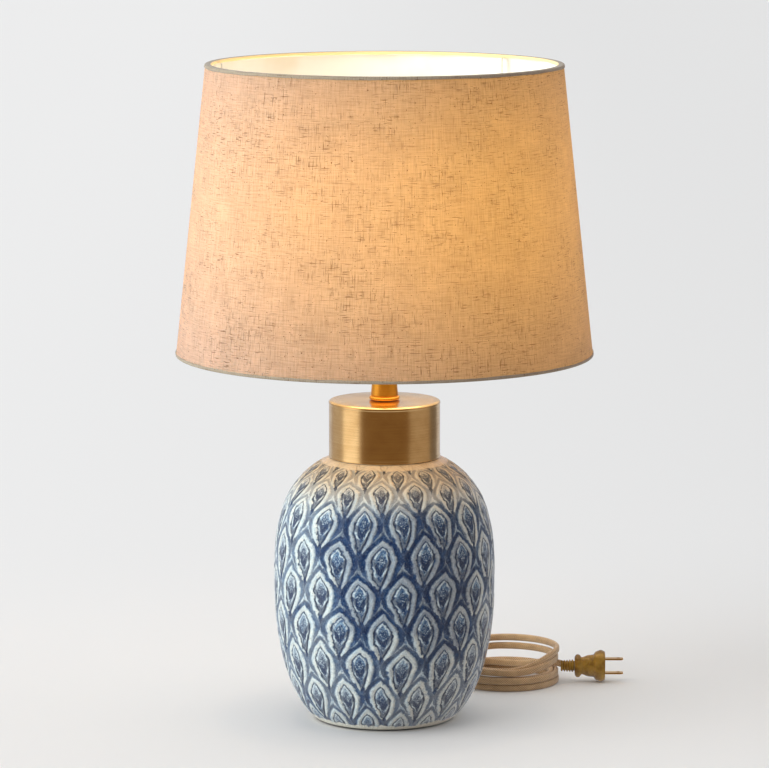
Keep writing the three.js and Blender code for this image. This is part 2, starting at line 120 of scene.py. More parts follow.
class Signal:
    """A shader socket that takes part in Python and numpy arithmetic by adding Math nodes."""

    OPERATIONS = {
        "add": "ADD", "subtract": "SUBTRACT", "multiply": "MULTIPLY", "divide": "DIVIDE",
        "power": "POWER", "absolute": "ABSOLUTE", "minimum": "MINIMUM", "maximum": "MAXIMUM",
        "floor": "FLOOR", "sin": "SINE", "cos": "COSINE", "arctan2": "ARCTAN2",
        "less": "LESS_THAN",
    }

    def __init__(self, bench: Bench, socket: bpy.types.NodeSocket) -> None:
        """Wraps a socket of the bench's tree."""
        self.bench = bench
        self.socket = socket

    def __array_ufunc__(self, ufunc: np.ufunc, method: str, *values: object, **_: object) -> Signal:
        """Turns a numpy function of signals into a Math node.

        Args:
            ufunc: the numpy function, such as np.minimum.
            method: how numpy calls it; only a plain call is known.
            values: its arguments, signals or numbers.

        Returns:
            The node's result.
        """
        return self.bench.maths(self.OPERATIONS[ufunc.__name__], *values)

    def __add__(self, other: Signal | float) -> Signal:
        """Sum."""
        return self.bench.maths("ADD", self, other)

    def __radd__(self, other: float) -> Signal:
        """Sum with a number in front."""
        return self.bench.maths("ADD", other, self)

    def __sub__(self, other: Signal | float) -> Signal:
        """Difference."""
        return self.bench.maths("SUBTRACT", self, other)

    def __rsub__(self, other: float) -> Signal:
        """Difference with a number in front."""
        return self.bench.maths("SUBTRACT", other, self)

    def __mul__(self, other: Signal | float) -> Signal:
        """Product."""
        return self.bench.maths("MULTIPLY", self, other)

    def __rmul__(self, other: float) -> Signal:
        """Product with a number in front."""
        return self.bench.maths("MULTIPLY", other, self)

    def __truediv__(self, other: Signal | float) -> Signal:
        """Quotient."""
        return self.bench.maths("DIVIDE", self, other)

    def __pow__(self, other: float) -> Signal:
        """Power."""
        return self.bench.maths("POWER", self, other)

    def __neg__(self) -> Signal:
        """Opposite."""
        return self.bench.maths("MULTIPLY", self, -1.0)


Value = Signal | float | Colour
Field = np.ndarray | Signal | float


class Bench:
    """One node tree, with the few ways of adding to it that the finishes use."""

    def __init__(self, tree: bpy.types.NodeTree) -> None:
        """Starts from an empty tree."""
        tree.nodes.clear()
        self.tree = tree

    def feed(self, socket: bpy.types.NodeSocket, value: Value) -> None:
        """Links a signal to a socket, or sets the socket to a number, colour or vector.

        Args:
            socket: the socket to feed.
            value: what it gets.
        """
        if isinstance(value, Signal):
            self.tree.links.new(value.socket, socket)
        elif isinstance(value, tuple) and socket.type == "RGBA":
            socket.default_value = (*value, 1.0)
        else:
            socket.default_value = value

    def node(
        self,
        kind: str,
        settings: dict[str, object] | None = None,
        sockets: dict[str | int, Value] | None = None,
    ) -> bpy.types.Node:
        """Adds any node.

        Args:
            kind: the node's type.
            settings: its own settings, such as a Math node's operation.
            sockets: what its inputs get, by name or number.

        Returns:
            The node.
        """
        made = self.tree.nodes.new(kind)
        for name, value in (settings or {}).items():
            setattr(made, name, value)
        for name, value in (sockets or {}).items():
            self.feed(made.inputs[name], value)
        return made

    def maths(self, operation: str, *values: Signal | float) -> Signal:
        """One Math node on up to three values."""
        made = self.node("ShaderNodeMath", {"operation": operation}, dict(enumerate(values)))
        return Signal(self, made.outputs[0])

    def ramped(self, low: float, high: float, value: Signal) -> Signal:
        """A smooth rise from 0 at low to 1 at high.

        Args:
            low: the value that gives 0.
            high: the value that gives 1.
            value: the signal.

        Returns:
            The risen signal.
        """
        sockets = {"Value": value, "From Min": low, "From Max": high}
        made = self.node("ShaderNodeMapRange", {"interpolation_type": "SMOOTHSTEP"}, sockets)
        return Signal(self, made.outputs[0])

    def mix(self, share: Signal | float, first: Value, second: Value, blend: Blend = Blend.OVER) -> Signal:
        """A Mix node on two colours."""
        settings = {"data_type": "RGBA", "blend_type": blend.value}
        return Signal(self, self.node("ShaderNodeMix", settings, {0: share, 6: first, 7: second}).outputs[2])

    def place(self, space: Space = Space.OBJECT) -> Signal:
        """The place on the piece, by one of Texture Coordinate's outputs."""
        return Signal(self, self.node("ShaderNodeTexCoord").outputs[space.value])

    def parts(self, vector: Signal) -> tuple[Signal, Signal, Signal]:
        """The x, y and z of a vector."""
        split = self.node("ShaderNodeSeparateXYZ", None, {0: vector})
        return Signal(self, split.outputs[0]), Signal(self, split.outputs[1]), Signal(self, split.outputs[2])

    def vector(self, x: Value, y: Value, z: Value) -> Signal:
        """A vector from three values."""
        return Signal(self, self.node("ShaderNodeCombineXYZ", None, {0: x, 1: y, 2: z}).outputs[0])

    def stretched(self, vector: Signal, scale: Colour) -> Signal:
        """A vector scaled by a Mapping node."""
        return Signal(self, self.node("ShaderNodeMapping", None, {0: vector, 3: scale}).outputs[0])

    def noise(self, vector: Signal, scale: float, detail: float = 2.0, roughness: float = 0.5) -> Signal:
        """Soft noise of 0 to 1 with blots about 1 / scale across."""
        sockets = {"Vector": vector, "Scale": scale, "Detail": detail, "Roughness": roughness}
        return Signal(self, self.node("ShaderNodeTexNoise", None, sockets).outputs[0])

    def bump(self, height: Signal, distance: float, strength: float = 1.0) -> Signal:
        """A normal from a height of 0 to 1, where 1 stands for distance in metres."""
        sockets = {"Height": height, "Distance": distance, "Strength": strength}
        return Signal(self, self.node("ShaderNodeBump", None, sockets).outputs[0])

    def principled(self, sockets: dict[str, Value]) -> Signal:
        """A Principled shader."""
        return Signal(self, self.node("ShaderNodeBsdfPrincipled", None, sockets).outputs[0])


def smooth(low: float, high: float, x: Field) -> Field:
    """0 below low, 1 above high and the S-curve 3t^2 - 2t^3 between, on arrays and signals alike.

    Args:
        low: where the curve leaves 0.
        high: where it reaches 1.
        x: the values.

    Returns:
        The curve's values, of the same kind as x.
    """
    if isinstance(x, Signal):
        return x.bench.ramped(low, high, x)
    t = np.clip((x - low) / (high - low), 0.0, 1.0)
    return t * t * (3.0 - 2.0 * t)


def band(low: float, high: float, soft: float, x: Field) -> Field:
    """1 between low and high, fading to 0 over the width soft outside them."""
    return smooth(low - soft, low, x) * (1.0 - smooth(high, high + soft, x))


# ------------------------------------------------------------------ finishes


@functools.cache
def material_of(finish: Finish) -> bpy.types.Material:
    """The material of a finish, made the first time it is asked for.

    Args:
        finish: the finish.

    Returns:
        Its material.
    """
    material = bpy.data.materials.new(finish.name)
    material.use_nodes = True
    bench = Bench(material.node_tree)
    bench.node("ShaderNodeOutputMaterial", None, {"Surface": finish.surface(bench)})
    return material


@dataclass(frozen=True)
class Finish:
    """What every finish has: a name, and a surface that it builds on a bench."""

    name: str

    def surface(self, bench: Bench) -> Signal:
        """The finish's shader.

        Args:
            bench: the node tree to build it in.

        Returns:
            The shader's output.
        """
        raise NotImplementedError


@dataclass(frozen=True)
class OgeePattern:
    """The tooled pattern: staggered rows of pointed eyes in ogee cells, as heights and masks.

    Across counts eyes round the body and along counts rows up it, both from an eye's centre. Each
    cell is bounded by half widths of cos^2, so cells of alternate rows fill the surface.
    """

    eyes_round: int = 16
    lean: float = 0.06

    def local(self, across: Field, along: Field) -> tuple[Field, Field]:
        """Where a point lies from the centre of the cell that holds it.

        Args:
            across: eyes round the body.
            along: rows up the body.

        Returns:
            The distance sideways, never negative, and the height, in pitches.
        """
        turn = FULL_TURN / self.eyes_round
        bent = across + self.lean + 0.045 * np.sin(along * 2.3 + across * turn * 3.0)
        raised = along + 0.06 * np.sin(across * turn * 5.0 + along * 0.7)
        raised = raised + 0.03 * np.sin(across * turn * 13.0)
        even_p = bent - np.floor(bent + 0.5)
        even_q = raised - np.floor(raised * 0.5 + 0.5) * 2.0
        odd_p = bent - np.floor(bent) - 0.5
        odd_q = raised - 1.0 - np.floor(raised * 0.5) * 2.0
        wide = np.cos(even_q * (math.pi / 2.0))
        in_even = np.less(np.absolute(even_p), wide * wide * 0.5) * 1.0
        p = odd_p + (even_p - odd_p) * in_even
        q = odd_q + (even_q - odd_q) * in_even
        return np.absolute(p), q

    @staticmethod
    def inside(
        p: Field, q: Field, half: float, top: float, bottom: float, arch: tuple[float, float]
    ) -> Field:
        """How far a point is inside a pointed oval, in pitches.

        The oval's half width is half * (1 - (up / top)^a - (down / bottom)^b).

        Args:
            p: the distance sideways.
            q: the height.
            half: the widest half width.
            top: the point above the centre.
            bottom: the point below it.
            arch: the powers a and b of the upper and lower sides.

        Returns:
            The half width less the distance sideways.
        """
        up = np.maximum(q, 0.0) * (1.0 / top)
        down = np.maximum(q * -1.0, 0.0) * (1.0 / bottom)
        return (1.0 - up ** arch[0] - down ** arch[1]) * half - p

    def layers(self, across: Field, along: Field) -> dict[str, Field]:
        """The pattern's masks, each 0 to 1.

        Args:
            across: eyes round the body.
            along: rows up the body.

        Returns:
            The cell's rim, the dark outline round the pale ring, the ring and its raised line, the
            eye, its dark border and pale halo, the core, dark chevrons, and the solid tail.
        """
        p, q = self.local(across, along)
        wide = np.cos(q * (math.pi / 2.0))
        edge = wide * wide * 0.5 - p
        ring = self.inside(p, q, 0.335, 0.57, 1.02, (1.75, 1.4))
        eye = self.inside(p, q, 0.218, 0.41, 0.78, (1.85, 1.55))
        core = self.inside(p, q + 0.04, 0.120, 0.24, 0.46, (1.8, 1.6))
        tail = self.inside(p, q + 0.82, 0.080, 0.20, 0.20, (1.6, 1.5))
        slope = q - p * 1.6
        return {
            "rim": 1.0 - smooth(0.0, 0.115, edge),
            "outline": smooth(-0.24, -0.14, ring) * (1.0 - smooth(-0.06, 0.01, ring)),
            "ring": smooth(-0.045, 0.035, ring),
            "line": band(0.004, 0.035, 0.03, ring),
            "eye": smooth(-0.012, 0.02, eye),
            "border": band(-0.004, 0.024, 0.02, eye),
            "halo": band(0.046, 0.074, 0.026, eye),
            "core": smooth(-0.012, 0.02, core),
            "chevron": band(-0.36, -0.22, 0.06, slope) + band(-0.66, -0.52, 0.05, slope),
            "tail": smooth(-0.015, 0.02, tail),
        }

    def relief(self, across: np.ndarray, along: np.ndarray) -> np.ndarray:
        """The tooled surface's height: lines raised, dark grounds cut back.

        Args:
            across: eyes round the body.
            along: rows up the body.

        Returns:
            The height in millimetres from the plain wall.
        """
        on = self.layers(across, along)
        return (
            -0.30 - 0.10 * on["outline"] + 0.36 * on["ring"] + 0.14 * on["line"] + 0.26 * on["rim"]
            - 0.30 * on["border"] + 0.16 * on["halo"] + 0.10 * on["core"]
            - 0.22 * on["tail"] * (1.0 - on["eye"])
        )


@dataclass(frozen=True)
class Glaze(Finish):
    """Gloss glaze over the tooled clay: cobalt pooled in the cuts, thin and milky on the ridges."""

    pattern: OgeePattern = OgeePattern()
    cream: Colour = display(216, 210, 197)
    milk: Colour = display(212, 215, 213)
    navy: Colour = display(9, 28, 60)
    cobalt: Colour = display(30, 66, 106)
    wash: Colour = display(126, 150, 168)
    ink: Colour = display(20, 32, 58)
    # Painted light and shade: a warmer, darker cream that tints the upper rows, standing for the bulb's warm
    # light under the shade.
    warm: Colour = display(222, 190, 154)
    biscuit: Colour = display(224, 216, 202)
    dusty: Colour = display(202, 192, 176)
    top_row: float = 7.42
    foot_row: float = -1.02

    def surface(self, bench: Bench) -> Signal:
        """Masks of the pattern choose between washes, and noise breaks every edge.

        Args:
            bench: the node tree to build it in.

        Returns:
            The shader's output.
        """
        across, along, _ = bench.parts(bench.place(Space.CLOTH))
        place = bench.place()
        grain = bench.noise(place, 1100.0, 3.0, 0.7)
        streak = bench.noise(place, 300.0, 4.0, 0.6)
        pool = bench.noise(place, 90.0, 3.0, 0.6)
        cloud = bench.noise(place, 20.0, 2.0)
        wobble = (streak - 0.5) * 0.12 + (pool - 0.5) * 0.14
        on = self.pattern.layers(across + wobble, along + (pool - 0.5) * 0.18 + (streak - 0.5) * 0.06)
        bleed = smooth(0.34, 0.62, streak * 0.55 + grain * 0.45)

        shoulder = smooth(5.0, 5.9, along + (pool - 0.5) * 0.8)
        turn = FULL_TURN / self.pattern.eyes_round
        # Painted shade: run darkens the front middle of the body round the middle rows, so that its sides
        # read paler as the light leaves them.
        run = smooth(0.62, 0.97, np.cos((across - 0.5) * turn)) * (np.cos((along - 3.5) * 0.8) * 0.5 + 0.5)
        run = run * 0.48 - 0.09
        cloud = cloud - run
        pale = np.minimum(smooth(0.42, 0.62, cloud) * 0.62 + shoulder * 0.8, 0.92)
        ground = bench.mix(smooth(0.38, 0.64, pool * 0.5 + grain * 0.5), self.cobalt, self.wash)
        ground = bench.mix((1.0 - smooth(0.26, 0.46, cloud)) * 0.75, ground, self.navy)
        body = bench.mix(pale, ground, bench.mix(np.maximum(bleed, shoulder * 0.8), self.wash, self.cream))
        deep = bench.mix(smooth(0.44, 0.66, grain * 0.5 + pool * 0.5), self.navy, self.cobalt)
        on_rim = on["rim"] * smooth(0.36, 0.58, pool * 0.6 + streak * 0.4) * (0.34 + pale * 0.5)
        body = bench.mix(on_rim, body, self.milk)
        on_outline = on["outline"] * (1.0 - pale * 0.30) * (1.0 - shoulder * 0.25)
        body = bench.mix(on_outline * (0.66 + bleed * 0.34), body, deep)
        washed = smooth(0.40, 0.64, streak * 0.5 + pool * 0.2 + grain * 0.3) * 0.75
        ring = bench.mix(washed, self.cream, self.wash)
        ring = bench.mix((1.0 - smooth(0.22, 0.46, cloud)) * 0.5, ring, self.cobalt)
        body = bench.mix(on["ring"], body, ring)
        body = bench.mix(on["line"] * 0.30 * bleed, body, self.milk)
        fill = bench.mix(smooth(0.42, 0.60, grain * 0.6 + streak * 0.4), self.cobalt, self.wash)
        fill = bench.mix(pale * 0.5, fill, self.cream)
        body = bench.mix(on["eye"] * 0.92, body, fill)
        body = bench.mix(on["halo"] * 0.66 * smooth(0.30, 0.5, streak), body, self.milk)
        fleck = bench.mix(smooth(0.54, 0.64, grain), deep, self.milk)
        body = bench.mix(on["core"] * 0.70, body, fleck)
        body = bench.mix(on["chevron"] * on["eye"] * smooth(0.30, 0.5, grain) * 0.8, body, self.navy)
        body = bench.mix(on["border"] * smooth(0.30, 0.50, streak) * 0.80, body, self.ink)
        body = bench.mix(on["tail"] * 0.9, body, deep)
        body = bench.mix(smooth(0.55, 0.70, grain) * 0.18, body, self.milk)
        body = bench.mix((1.0 - smooth(0.34, 0.50, grain)) * (0.55 - shoulder * 0.25), body, self.navy)
        stain = (1.0 - smooth(0.36, 0.52, pool * 0.6 + streak * 0.4)) * (1.0 - pale) * 0.45
        body = bench.mix(stain, body, self.cobalt)

        ragged = along + (streak - 0.5) * 0.24 + (pool - 0.5) * 0.3
        glazed = smooth(self.foot_row - 0.03, self.foot_row + 0.03, ragged)
        plain = smooth(self.top_row - 0.04, self.top_row + 0.05, ragged)
        bare = bench.mix(smooth(0.4, 0.7, grain), self.biscuit, self.dusty)
        body = bench.mix(glazed, bare, body)
        body = bench.mix(plain, body, self.cream)
        # Painted light and shade: the upper rows are tinted warmer and darker, standing for the bulb's warm
        # light and the shade under the cap.
        body = bench.mix(smooth(4.9, 7.0, along) * 0.9, body, self.warm, Blend.TINT)

        height = on["ring"] * 0.2 + on["line"] * 0.12 + on["rim"] * 0.3
        height = height - on["border"] * 0.4 + on["halo"] * 0.3
        height = height - on["chevron"] * on["eye"] * 0.35 + (grain - 0.5) * 0.35 + (streak - 0.5) * 0.6
        return bench.principled({
            "Base Color": body,
            "Roughness": 0.62 - glazed * 0.50 + (grain - 0.5) * 0.10,
            "Normal": bench.bump(height, 0.0006),
            "IOR": 1.52,
            "Specular IOR Level": 0.42,
        })


@dataclass(frozen=True)
class Brass(Finish):
    """Lacquered brass: fine lines run round turned parts, and the tone drifts a little."""

    tone: Colour = display(240, 206, 154)
    dull: Colour = display(216, 176, 120)
    gloss: float = 0.18
    brushing: float = 1.0
    anisotropy: float = 0.6

    def surface(self, bench: Bench) -> Signal:
        """Lines are noise squeezed along the height and drawn out round the axis.

        Args:
            bench: the node tree to build it in.

        Returns:
            The shader's output.
        """
        place = bench.place()
        lines = bench.noise(bench.stretched(place, (6.0, 6.0, 1800.0)), 1.0, 3.0, 0.7)
        broad = bench.noise(bench.stretched(place, (4.0, 4.0, 420.0)), 1.0, 2.0)
        cloud = bench.noise(place, 60.0, 3.0)
        tone = bench.mix(smooth(0.3, 0.75, cloud * 0.5 + lines * 0.5), self.tone, self.dull)
        rough = self.gloss + (lines - 0.5) * (0.10 * self.brushing) + (cloud - 0.5) * 0.08
        return bench.principled({
            "Base Color": tone,
            "Metallic": 1.0,
            "Roughness": rough,
            "Anisotropic": self.anisotropy,
            "Normal": bench.bump(lines * 0.7 + broad * 0.3, 0.000024 * self.brushing + 0.000002),
        })


@dataclass(frozen=True)
class Linen(Finish):
    """Slubby linen in metres of cloth: uneven threads, stray thick ones, and light let through.

    A share of what is seen is light that came through the cloth, and the rest is light that it gives
    back. A hem has the same cloth but passes no light.
    """

    thread: Colour = display(192, 192, 187)
    shadow: Colour = display(158, 146, 130)
    slub: Colour = display(92, 56, 30)
    sheen: float = 0.5
    passed: Colour = (0.80, 0.465, 0.062)
    passing: float = 0.70
    # Painted light: a colour for faces turned in towards the bulb, standing for its light falling on them.
    inward: Colour | None = None
    thread_pitch: float = 0.0017

    def surface(self, bench: Bench) -> Signal:
        """Two sets of uneven threads, each with slubs where a stretched noise peaks.

        Args:
            bench: the node tree to build it in.

        Returns:
            The shader's output.
        """
        u, v, _ = bench.parts(bench.place(Space.CLOTH))
        cloth = bench.place(Space.CLOTH)
        turn = FULL_TURN / self.thread_pitch
        sway = bench.noise(cloth, 24.0, 2.0) - 0.5

        def drawn(per_metre: tuple[float, float], seed: float, detail: float = 2.0) -> Signal:
            """Noise drawn out along one thread direction."""
            spot = bench.vector(u * per_metre[0] + sway * 1.5, v * per_metre[1] + sway * 1.5, seed)
            return bench.noise(spot, 1.0, detail, 0.55)

        weft = drawn((46.0, 980.0), 1.0)
        warp = drawn((980.0, 46.0), 5.0)
        weft_slub = drawn((96.0, 1150.0), 11.0, 1.0)
        warp_slub = drawn((1150.0, 84.0), 17.0, 1.0)
        knot = bench.noise(cloth, 560.0, 1.0)
        cloud = bench.noise(cloth, 30.0, 3.0, 0.6)
        fine = np.sin(u * turn) * np.sin(v * turn)

        loose = smooth(0.40, 0.62, bench.noise(cloth, 19.0, 2.0))
        thin = smooth(0.34, 0.66, weft * 0.5 + warp * 0.5 + fine * 0.035)
        dark = smooth(0.615, 0.70, weft_slub) * 0.85 + smooth(0.62, 0.71, warp_slub) * 0.75
        dark = dark * (0.35 + loose * 0.65) + smooth(0.68, 0.75, knot) * 0.95
        dark = np.minimum(dark, 1.0)
        uneven = (1.0 - thin) * 0.55 + (cloud - 0.5) * 0.5 + fine * 0.10
        face = bench.mix(uneven, self.thread, self.shadow)
        face = bench.mix(dark * 0.92, face, self.slub)
        # Painted light: faces turned in towards the bulb take the inward colour, standing for the bulb's
        # light on them.
        if self.inward is not None:
            x, y, _ = bench.parts(bench.place())
            nx, ny, _ = bench.parts(bench.place(Space.NORMAL))
            outward = (nx * x + ny * y) / np.maximum((x * x + y * y) ** 0.5, 0.001)
            face = bench.mix(smooth(0.1, 0.5, outward * -1.0), face, self.inward)
        height = weft * 0.30 + warp * 0.30 + dark * 0.4 + fine * 0.10
        normal = bench.bump(height, 0.0005, 0.7)
        front = bench.principled({
            "Base Color": face,
            "Roughness": 0.92,
            "Sheen Weight": self.sheen,
            "Sheen Roughness": 0.5,
            "Specular IOR Level": 0.2,
            "Normal": normal,
        })
        if self.passing <= 0.0:
            return front
        close = tuple(c * k for c, k in zip(self.passed, (0.66, 0.56, 0.44)))
        knotted = tuple(c * k for c, k in zip(self.passed, (0.34, 0.22, 0.12)))
        through = bench.mix(uneven * 0.95 + 0.1, self.passed, close)
        through = bench.mix(dark * 0.88, through, knotted)
        back = Signal(bench, bench.node("ShaderNodeBsdfTranslucent", None, {"Color": through}).outputs[0])
        mixed = bench.node("ShaderNodeMixShader", None, {0: self.passing, 1: front, 2: back})
        return Signal(bench, mixed.outputs[0])


@dataclass(frozen=True)
class Braid(Finish):
    """Cloth braid over a twin flex: two sets of strands cross on the slant, with a stray pale one."""

    strand: Colour = display(234, 196, 150)
    # The darker colour is painted shade for the grooves between the crossing strands.
    shade: Colour = display(150, 112, 70)
    stray: Colour = display(226, 200, 156)
    pitch: float = 0.0021

    def surface(self, bench: Bench) -> Signal:
        """Crossing sine ridges in metres round and along the flex.

        Args:
            bench: the node tree to build it in.

        Returns:
            The shader's output.
        """
        u, v, _ = bench.parts(bench.place(Space.CLOTH))
        turn = FULL_TURN / self.pitch
        left = np.sin((v + u * 1.1) * turn)
        right = np.sin((v - u * 1.1) * turn)
        over = smooth(-0.2, 0.9, np.maximum(left, right))
        hair = bench.noise(bench.place(), 1400.0, 2.0)
        cloud = bench.noise(bench.place(), 120.0, 3.0)
        # Painted shade: the grooves between crossing strands take the darker colour, with a drift of tone
        # over it.
        tone = bench.mix(over * 0.75 + (cloud - 0.5) * 0.7, self.shade, self.strand)
        tone = bench.mix(smooth(0.6, 0.75, hair) * 0.35, tone, self.stray)
        return bench.principled({
            "Base Color": tone,
            "Roughness": 0.72 + (hair - 0.5) * 0.3,
            "Sheen Weight": 0.4,
            "Normal": bench.bump(over * 0.8 + hair * 0.4, 0.00028),
        })


@dataclass(frozen=True)
class Resin(Finish):
    """Moulded plastic with a fine mould texture, clear enough at its edges to glow a little."""

    tone: Colour = display(196, 150, 86)
    deep: Colour = display(150, 104, 50)
    gloss: float = 0.28
    depth: float = 0.0

    def surface(self, bench: Bench) -> Signal:
        """Cloudy tone, fine grain and small scuffs.

        Args:
            bench: the node tree to build it in.

        Returns:
            The shader's output.
        """
        place = bench.place()
        cloud = bench.noise(place, 110.0, 3.0)
        grain = bench.noise(place, 2400.0, 2.0)
        scuff = bench.noise(bench.stretched(place, (1800.0, 120.0, 300.0)), 1.0, 2.0)
        return bench.principled({
            "Base Color": bench.mix(smooth(0.35, 0.7, cloud), self.tone, self.deep),
            "Roughness": self.gloss + smooth(0.55, 0.75, scuff) * 0.2 + (grain - 0.5) * 0.1,
            "Normal": bench.bump(grain, 0.00006),
            "Subsurface Weight": self.depth,
            "Subsurface Radius": (0.004, 0.0022, 0.0008),
            "Subsurface Scale": 1.0,
        })


@dataclass(frozen=True)
class Painted(Finish):
    """A coated or plated part: one tone with drift, specks and a little orange peel."""

    tone: Colour
    second: Colour
    rough: float = 0.4
    metal: float = 0.0
    speck: float = 0.3
    scale: float = 300.0
    depth: float = 0.00005

    def surface(self, bench: Bench) -> Signal:
        """Noise at two scales drives the tone, roughness and bump.

        Args:
            bench: the node tree to build it in.

        Returns:
            The shader's output.
        """
        place = bench.place()
        cloud = bench.noise(place, self.scale * 0.2, 3.0)
        grain = bench.noise(place, self.scale * 4.0, 3.0, 0.6)
        share = smooth(0.35, 0.7, cloud * 0.6 + grain * 0.4) * 0.8 + smooth(0.62, 0.7, grain) * self.speck
        return bench.principled({
            "Base Color": bench.mix(share, self.tone, self.second),
            "Metallic": self.metal,
            "Roughness": self.rough + (grain - 0.5) * 0.25,
            "Normal": bench.bump(grain * 0.6 + cloud * 0.4, self.depth),
        })


@dataclass(frozen=True)
class Paper(Finish):
    """The matt paper that the lamp stands on, with painted shade that makes it a little darker to the right.
    """

    tone: Colour = (0.84, 0.84, 0.84)
    darker: Colour = (0.765, 0.765, 0.765)

    def surface(self, bench: Bench) -> Signal:
        """The tone goes over smoothly along x to a painted shade on the right, and a fine grain roughens it.

        Args:
            bench: the node tree to build it in.

        Returns:
            The shader's output.
        """
        across, _, _ = bench.parts(bench.place())
        grain = bench.noise(bench.place(), 40.0, 2.0)
        # Painted shade: darker to the right, as light falling from the left would leave the floor.
        tone = bench.mix(smooth(-0.75, 0.75, across), self.tone, self.darker)
        return bench.principled({
            "Base Color": tone,
            "Roughness": 0.88 + grain * 0.06,
            "Specular IOR Level": 0.1,
        })


@dataclass(frozen=True)
class Frosted(Finish):
    """The lit bulb's frosted glass: a warm white glow, a touch dimmer towards the neck."""

    glow: Colour = (1.0, 0.78, 0.52)
    strength: float = 4.0

    def surface(self, bench: Bench) -> Signal:
        """The glow fades with height down the neck, and frost dulls the gloss in specks.

        Args:
            bench: the node tree to build it in.

        Returns:
            The shader's output.
        """
        place = bench.place()
        height = bench.parts(place)[2]
        frost = bench.noise(place, 1600.0, 2.0)
        lit = smooth(0.384, 0.41, height)
        return bench.principled({
            "Base Color": bench.mix(frost, (0.93, 0.92, 0.90), (0.85, 0.84, 0.82)),
            "Roughness": 0.35 + (frost - 0.5) * 0.2,
            "Emission Color": bench.mix(lit, tuple(c * 0.35 for c in self.glow), self.glow),
            "Emission Strength": self.strength,
        })


@dataclass(frozen=True)
class Lining(Finish):
    """The shade's white stiff lining: smooth sheet with a faint grain."""

    white: Colour = display(246, 243, 236)
    cream: Colour = display(236, 230, 216)

    def surface(self, bench: Bench) -> Signal:
        """A slow drift of white and a fine embossed grain.

        Args:
            bench: the node tree to build it in.

        Returns:
            The shader's output.
        """
        place = bench.place()
        cloud = bench.noise(place, 18.0, 3.0)
        grain = bench.noise(place, 1500.0, 2.0)
        return bench.principled({
            "Base Color": bench.mix(smooth(0.35, 0.7, cloud), self.white, self.cream),
            "Roughness": 0.55 + (grain - 0.5) * 0.2,
            "Normal": bench.bump(grain, 0.00005),
        })


GLAZE = Glaze("glaze")
CAP_BRASS = Brass("brushed_brass")
PARTS_BRASS = Brass("polished_brass", gloss=0.16, brushing=0.35, anisotropy=0.2)
# Painted light: the neck and its bead take a deeper orange copy of the brass, partly their own tone and
# partly the bulb's warm light painted in.
NECK_BRASS = Brass(
    "neck_brass", tone=display(240, 176, 72), dull=display(218, 150, 50), gloss=0.38, anisotropy=0.3
)
BLADE_BRASS = Brass(
    "blade_brass", tone=display(226, 184, 112), dull=display(196, 150, 84), gloss=0.3, brushing=0.3,
    anisotropy=0.0,
)
LINEN = Linen("linen")
# The hem's inward colour is painted light: the pale gold of the bulb's light on its inner faces.
HEM = Linen(
    "rim_binding", thread=display(154, 135, 114), shadow=display(114, 96, 78), sheen=0.2, passing=0.0,
    inward=display(226, 196, 146),
)
LAP = Linen("linen", passed=(0.60, 0.33, 0.045), passing=0.72)
LINING = Lining("liner")
BRAID = Braid("cloth_cord")
AMBER = Resin("plug_plastic", tone=display(178, 138, 58), deep=display(120, 84, 26), gloss=0.22, depth=0.1)
PHENOLIC = Resin("phenolic", tone=display(40, 30, 24), deep=display(24, 18, 15), gloss=0.3)
WHITE_WIRE = Painted("white_wire", display(238, 236, 230), display(226, 222, 212), rough=0.35)
ZINC = Painted("zinc_steel", display(176, 178, 180), display(140, 142, 146), rough=0.32, metal=1.0)
ALUMINIUM = Painted("aluminium", display(208, 210, 212), display(182, 184, 188), rough=0.28, metal=1.0)
RUBBER = Painted("rubber", display(34, 34, 35), display(52, 51, 50), rough=0.8, depth=0.0001)
FELT = Painted("felt", display(60, 68, 60), display(38, 44, 40), rough=0.97, scale=900.0, depth=0.0006)
FIBRE = Painted("fibre_board", display(70, 60, 52), display(46, 38, 34), rough=0.85, scale=700.0)
FROSTED = Frosted("bulb_glass")
FLOOR = Paper("paper")


# ------------------------------------------------------------------ surfaces


@dataclass
class Net:
    """A grid of points in millimetres, with its place on the finish.

    Attributes:
        points: rows, columns, 3.
        loop_rows: the last row joins the first.
        loop_columns: the last column joins the first.
        uv: rows, columns, 2, each one longer where that way is looped.
    """

    points: np.ndarray
    loop_rows: bool
    loop_columns: bool
    uv: np.ndarray

    def faces(self) -> tuple[np.ndarray, np.ndarray]:
        """Quads joining each point to the next row and column.

        Returns:
            The quads' point numbers, and the place on the finish of each of their corners.
        """
        rows, columns = self.points.shape[:2]
        row = np.arange(rows if self.loop_rows else rows - 1)[:, None, None]
        column = np.arange(columns if self.loop_columns else columns - 1)[None, :, None]
        rise, step = np.array([0, 0, 1, 1]), np.array([0, 1, 1, 0])
        at_row, at_column = row + rise, column + step
        numbers = (at_row % rows) * columns + at_column % columns
        at_row, at_column = np.broadcast_arrays(at_row, at_column)
        return numbers.reshape(-1, 4), self.uv[at_row, at_column].reshape(-1, 2)


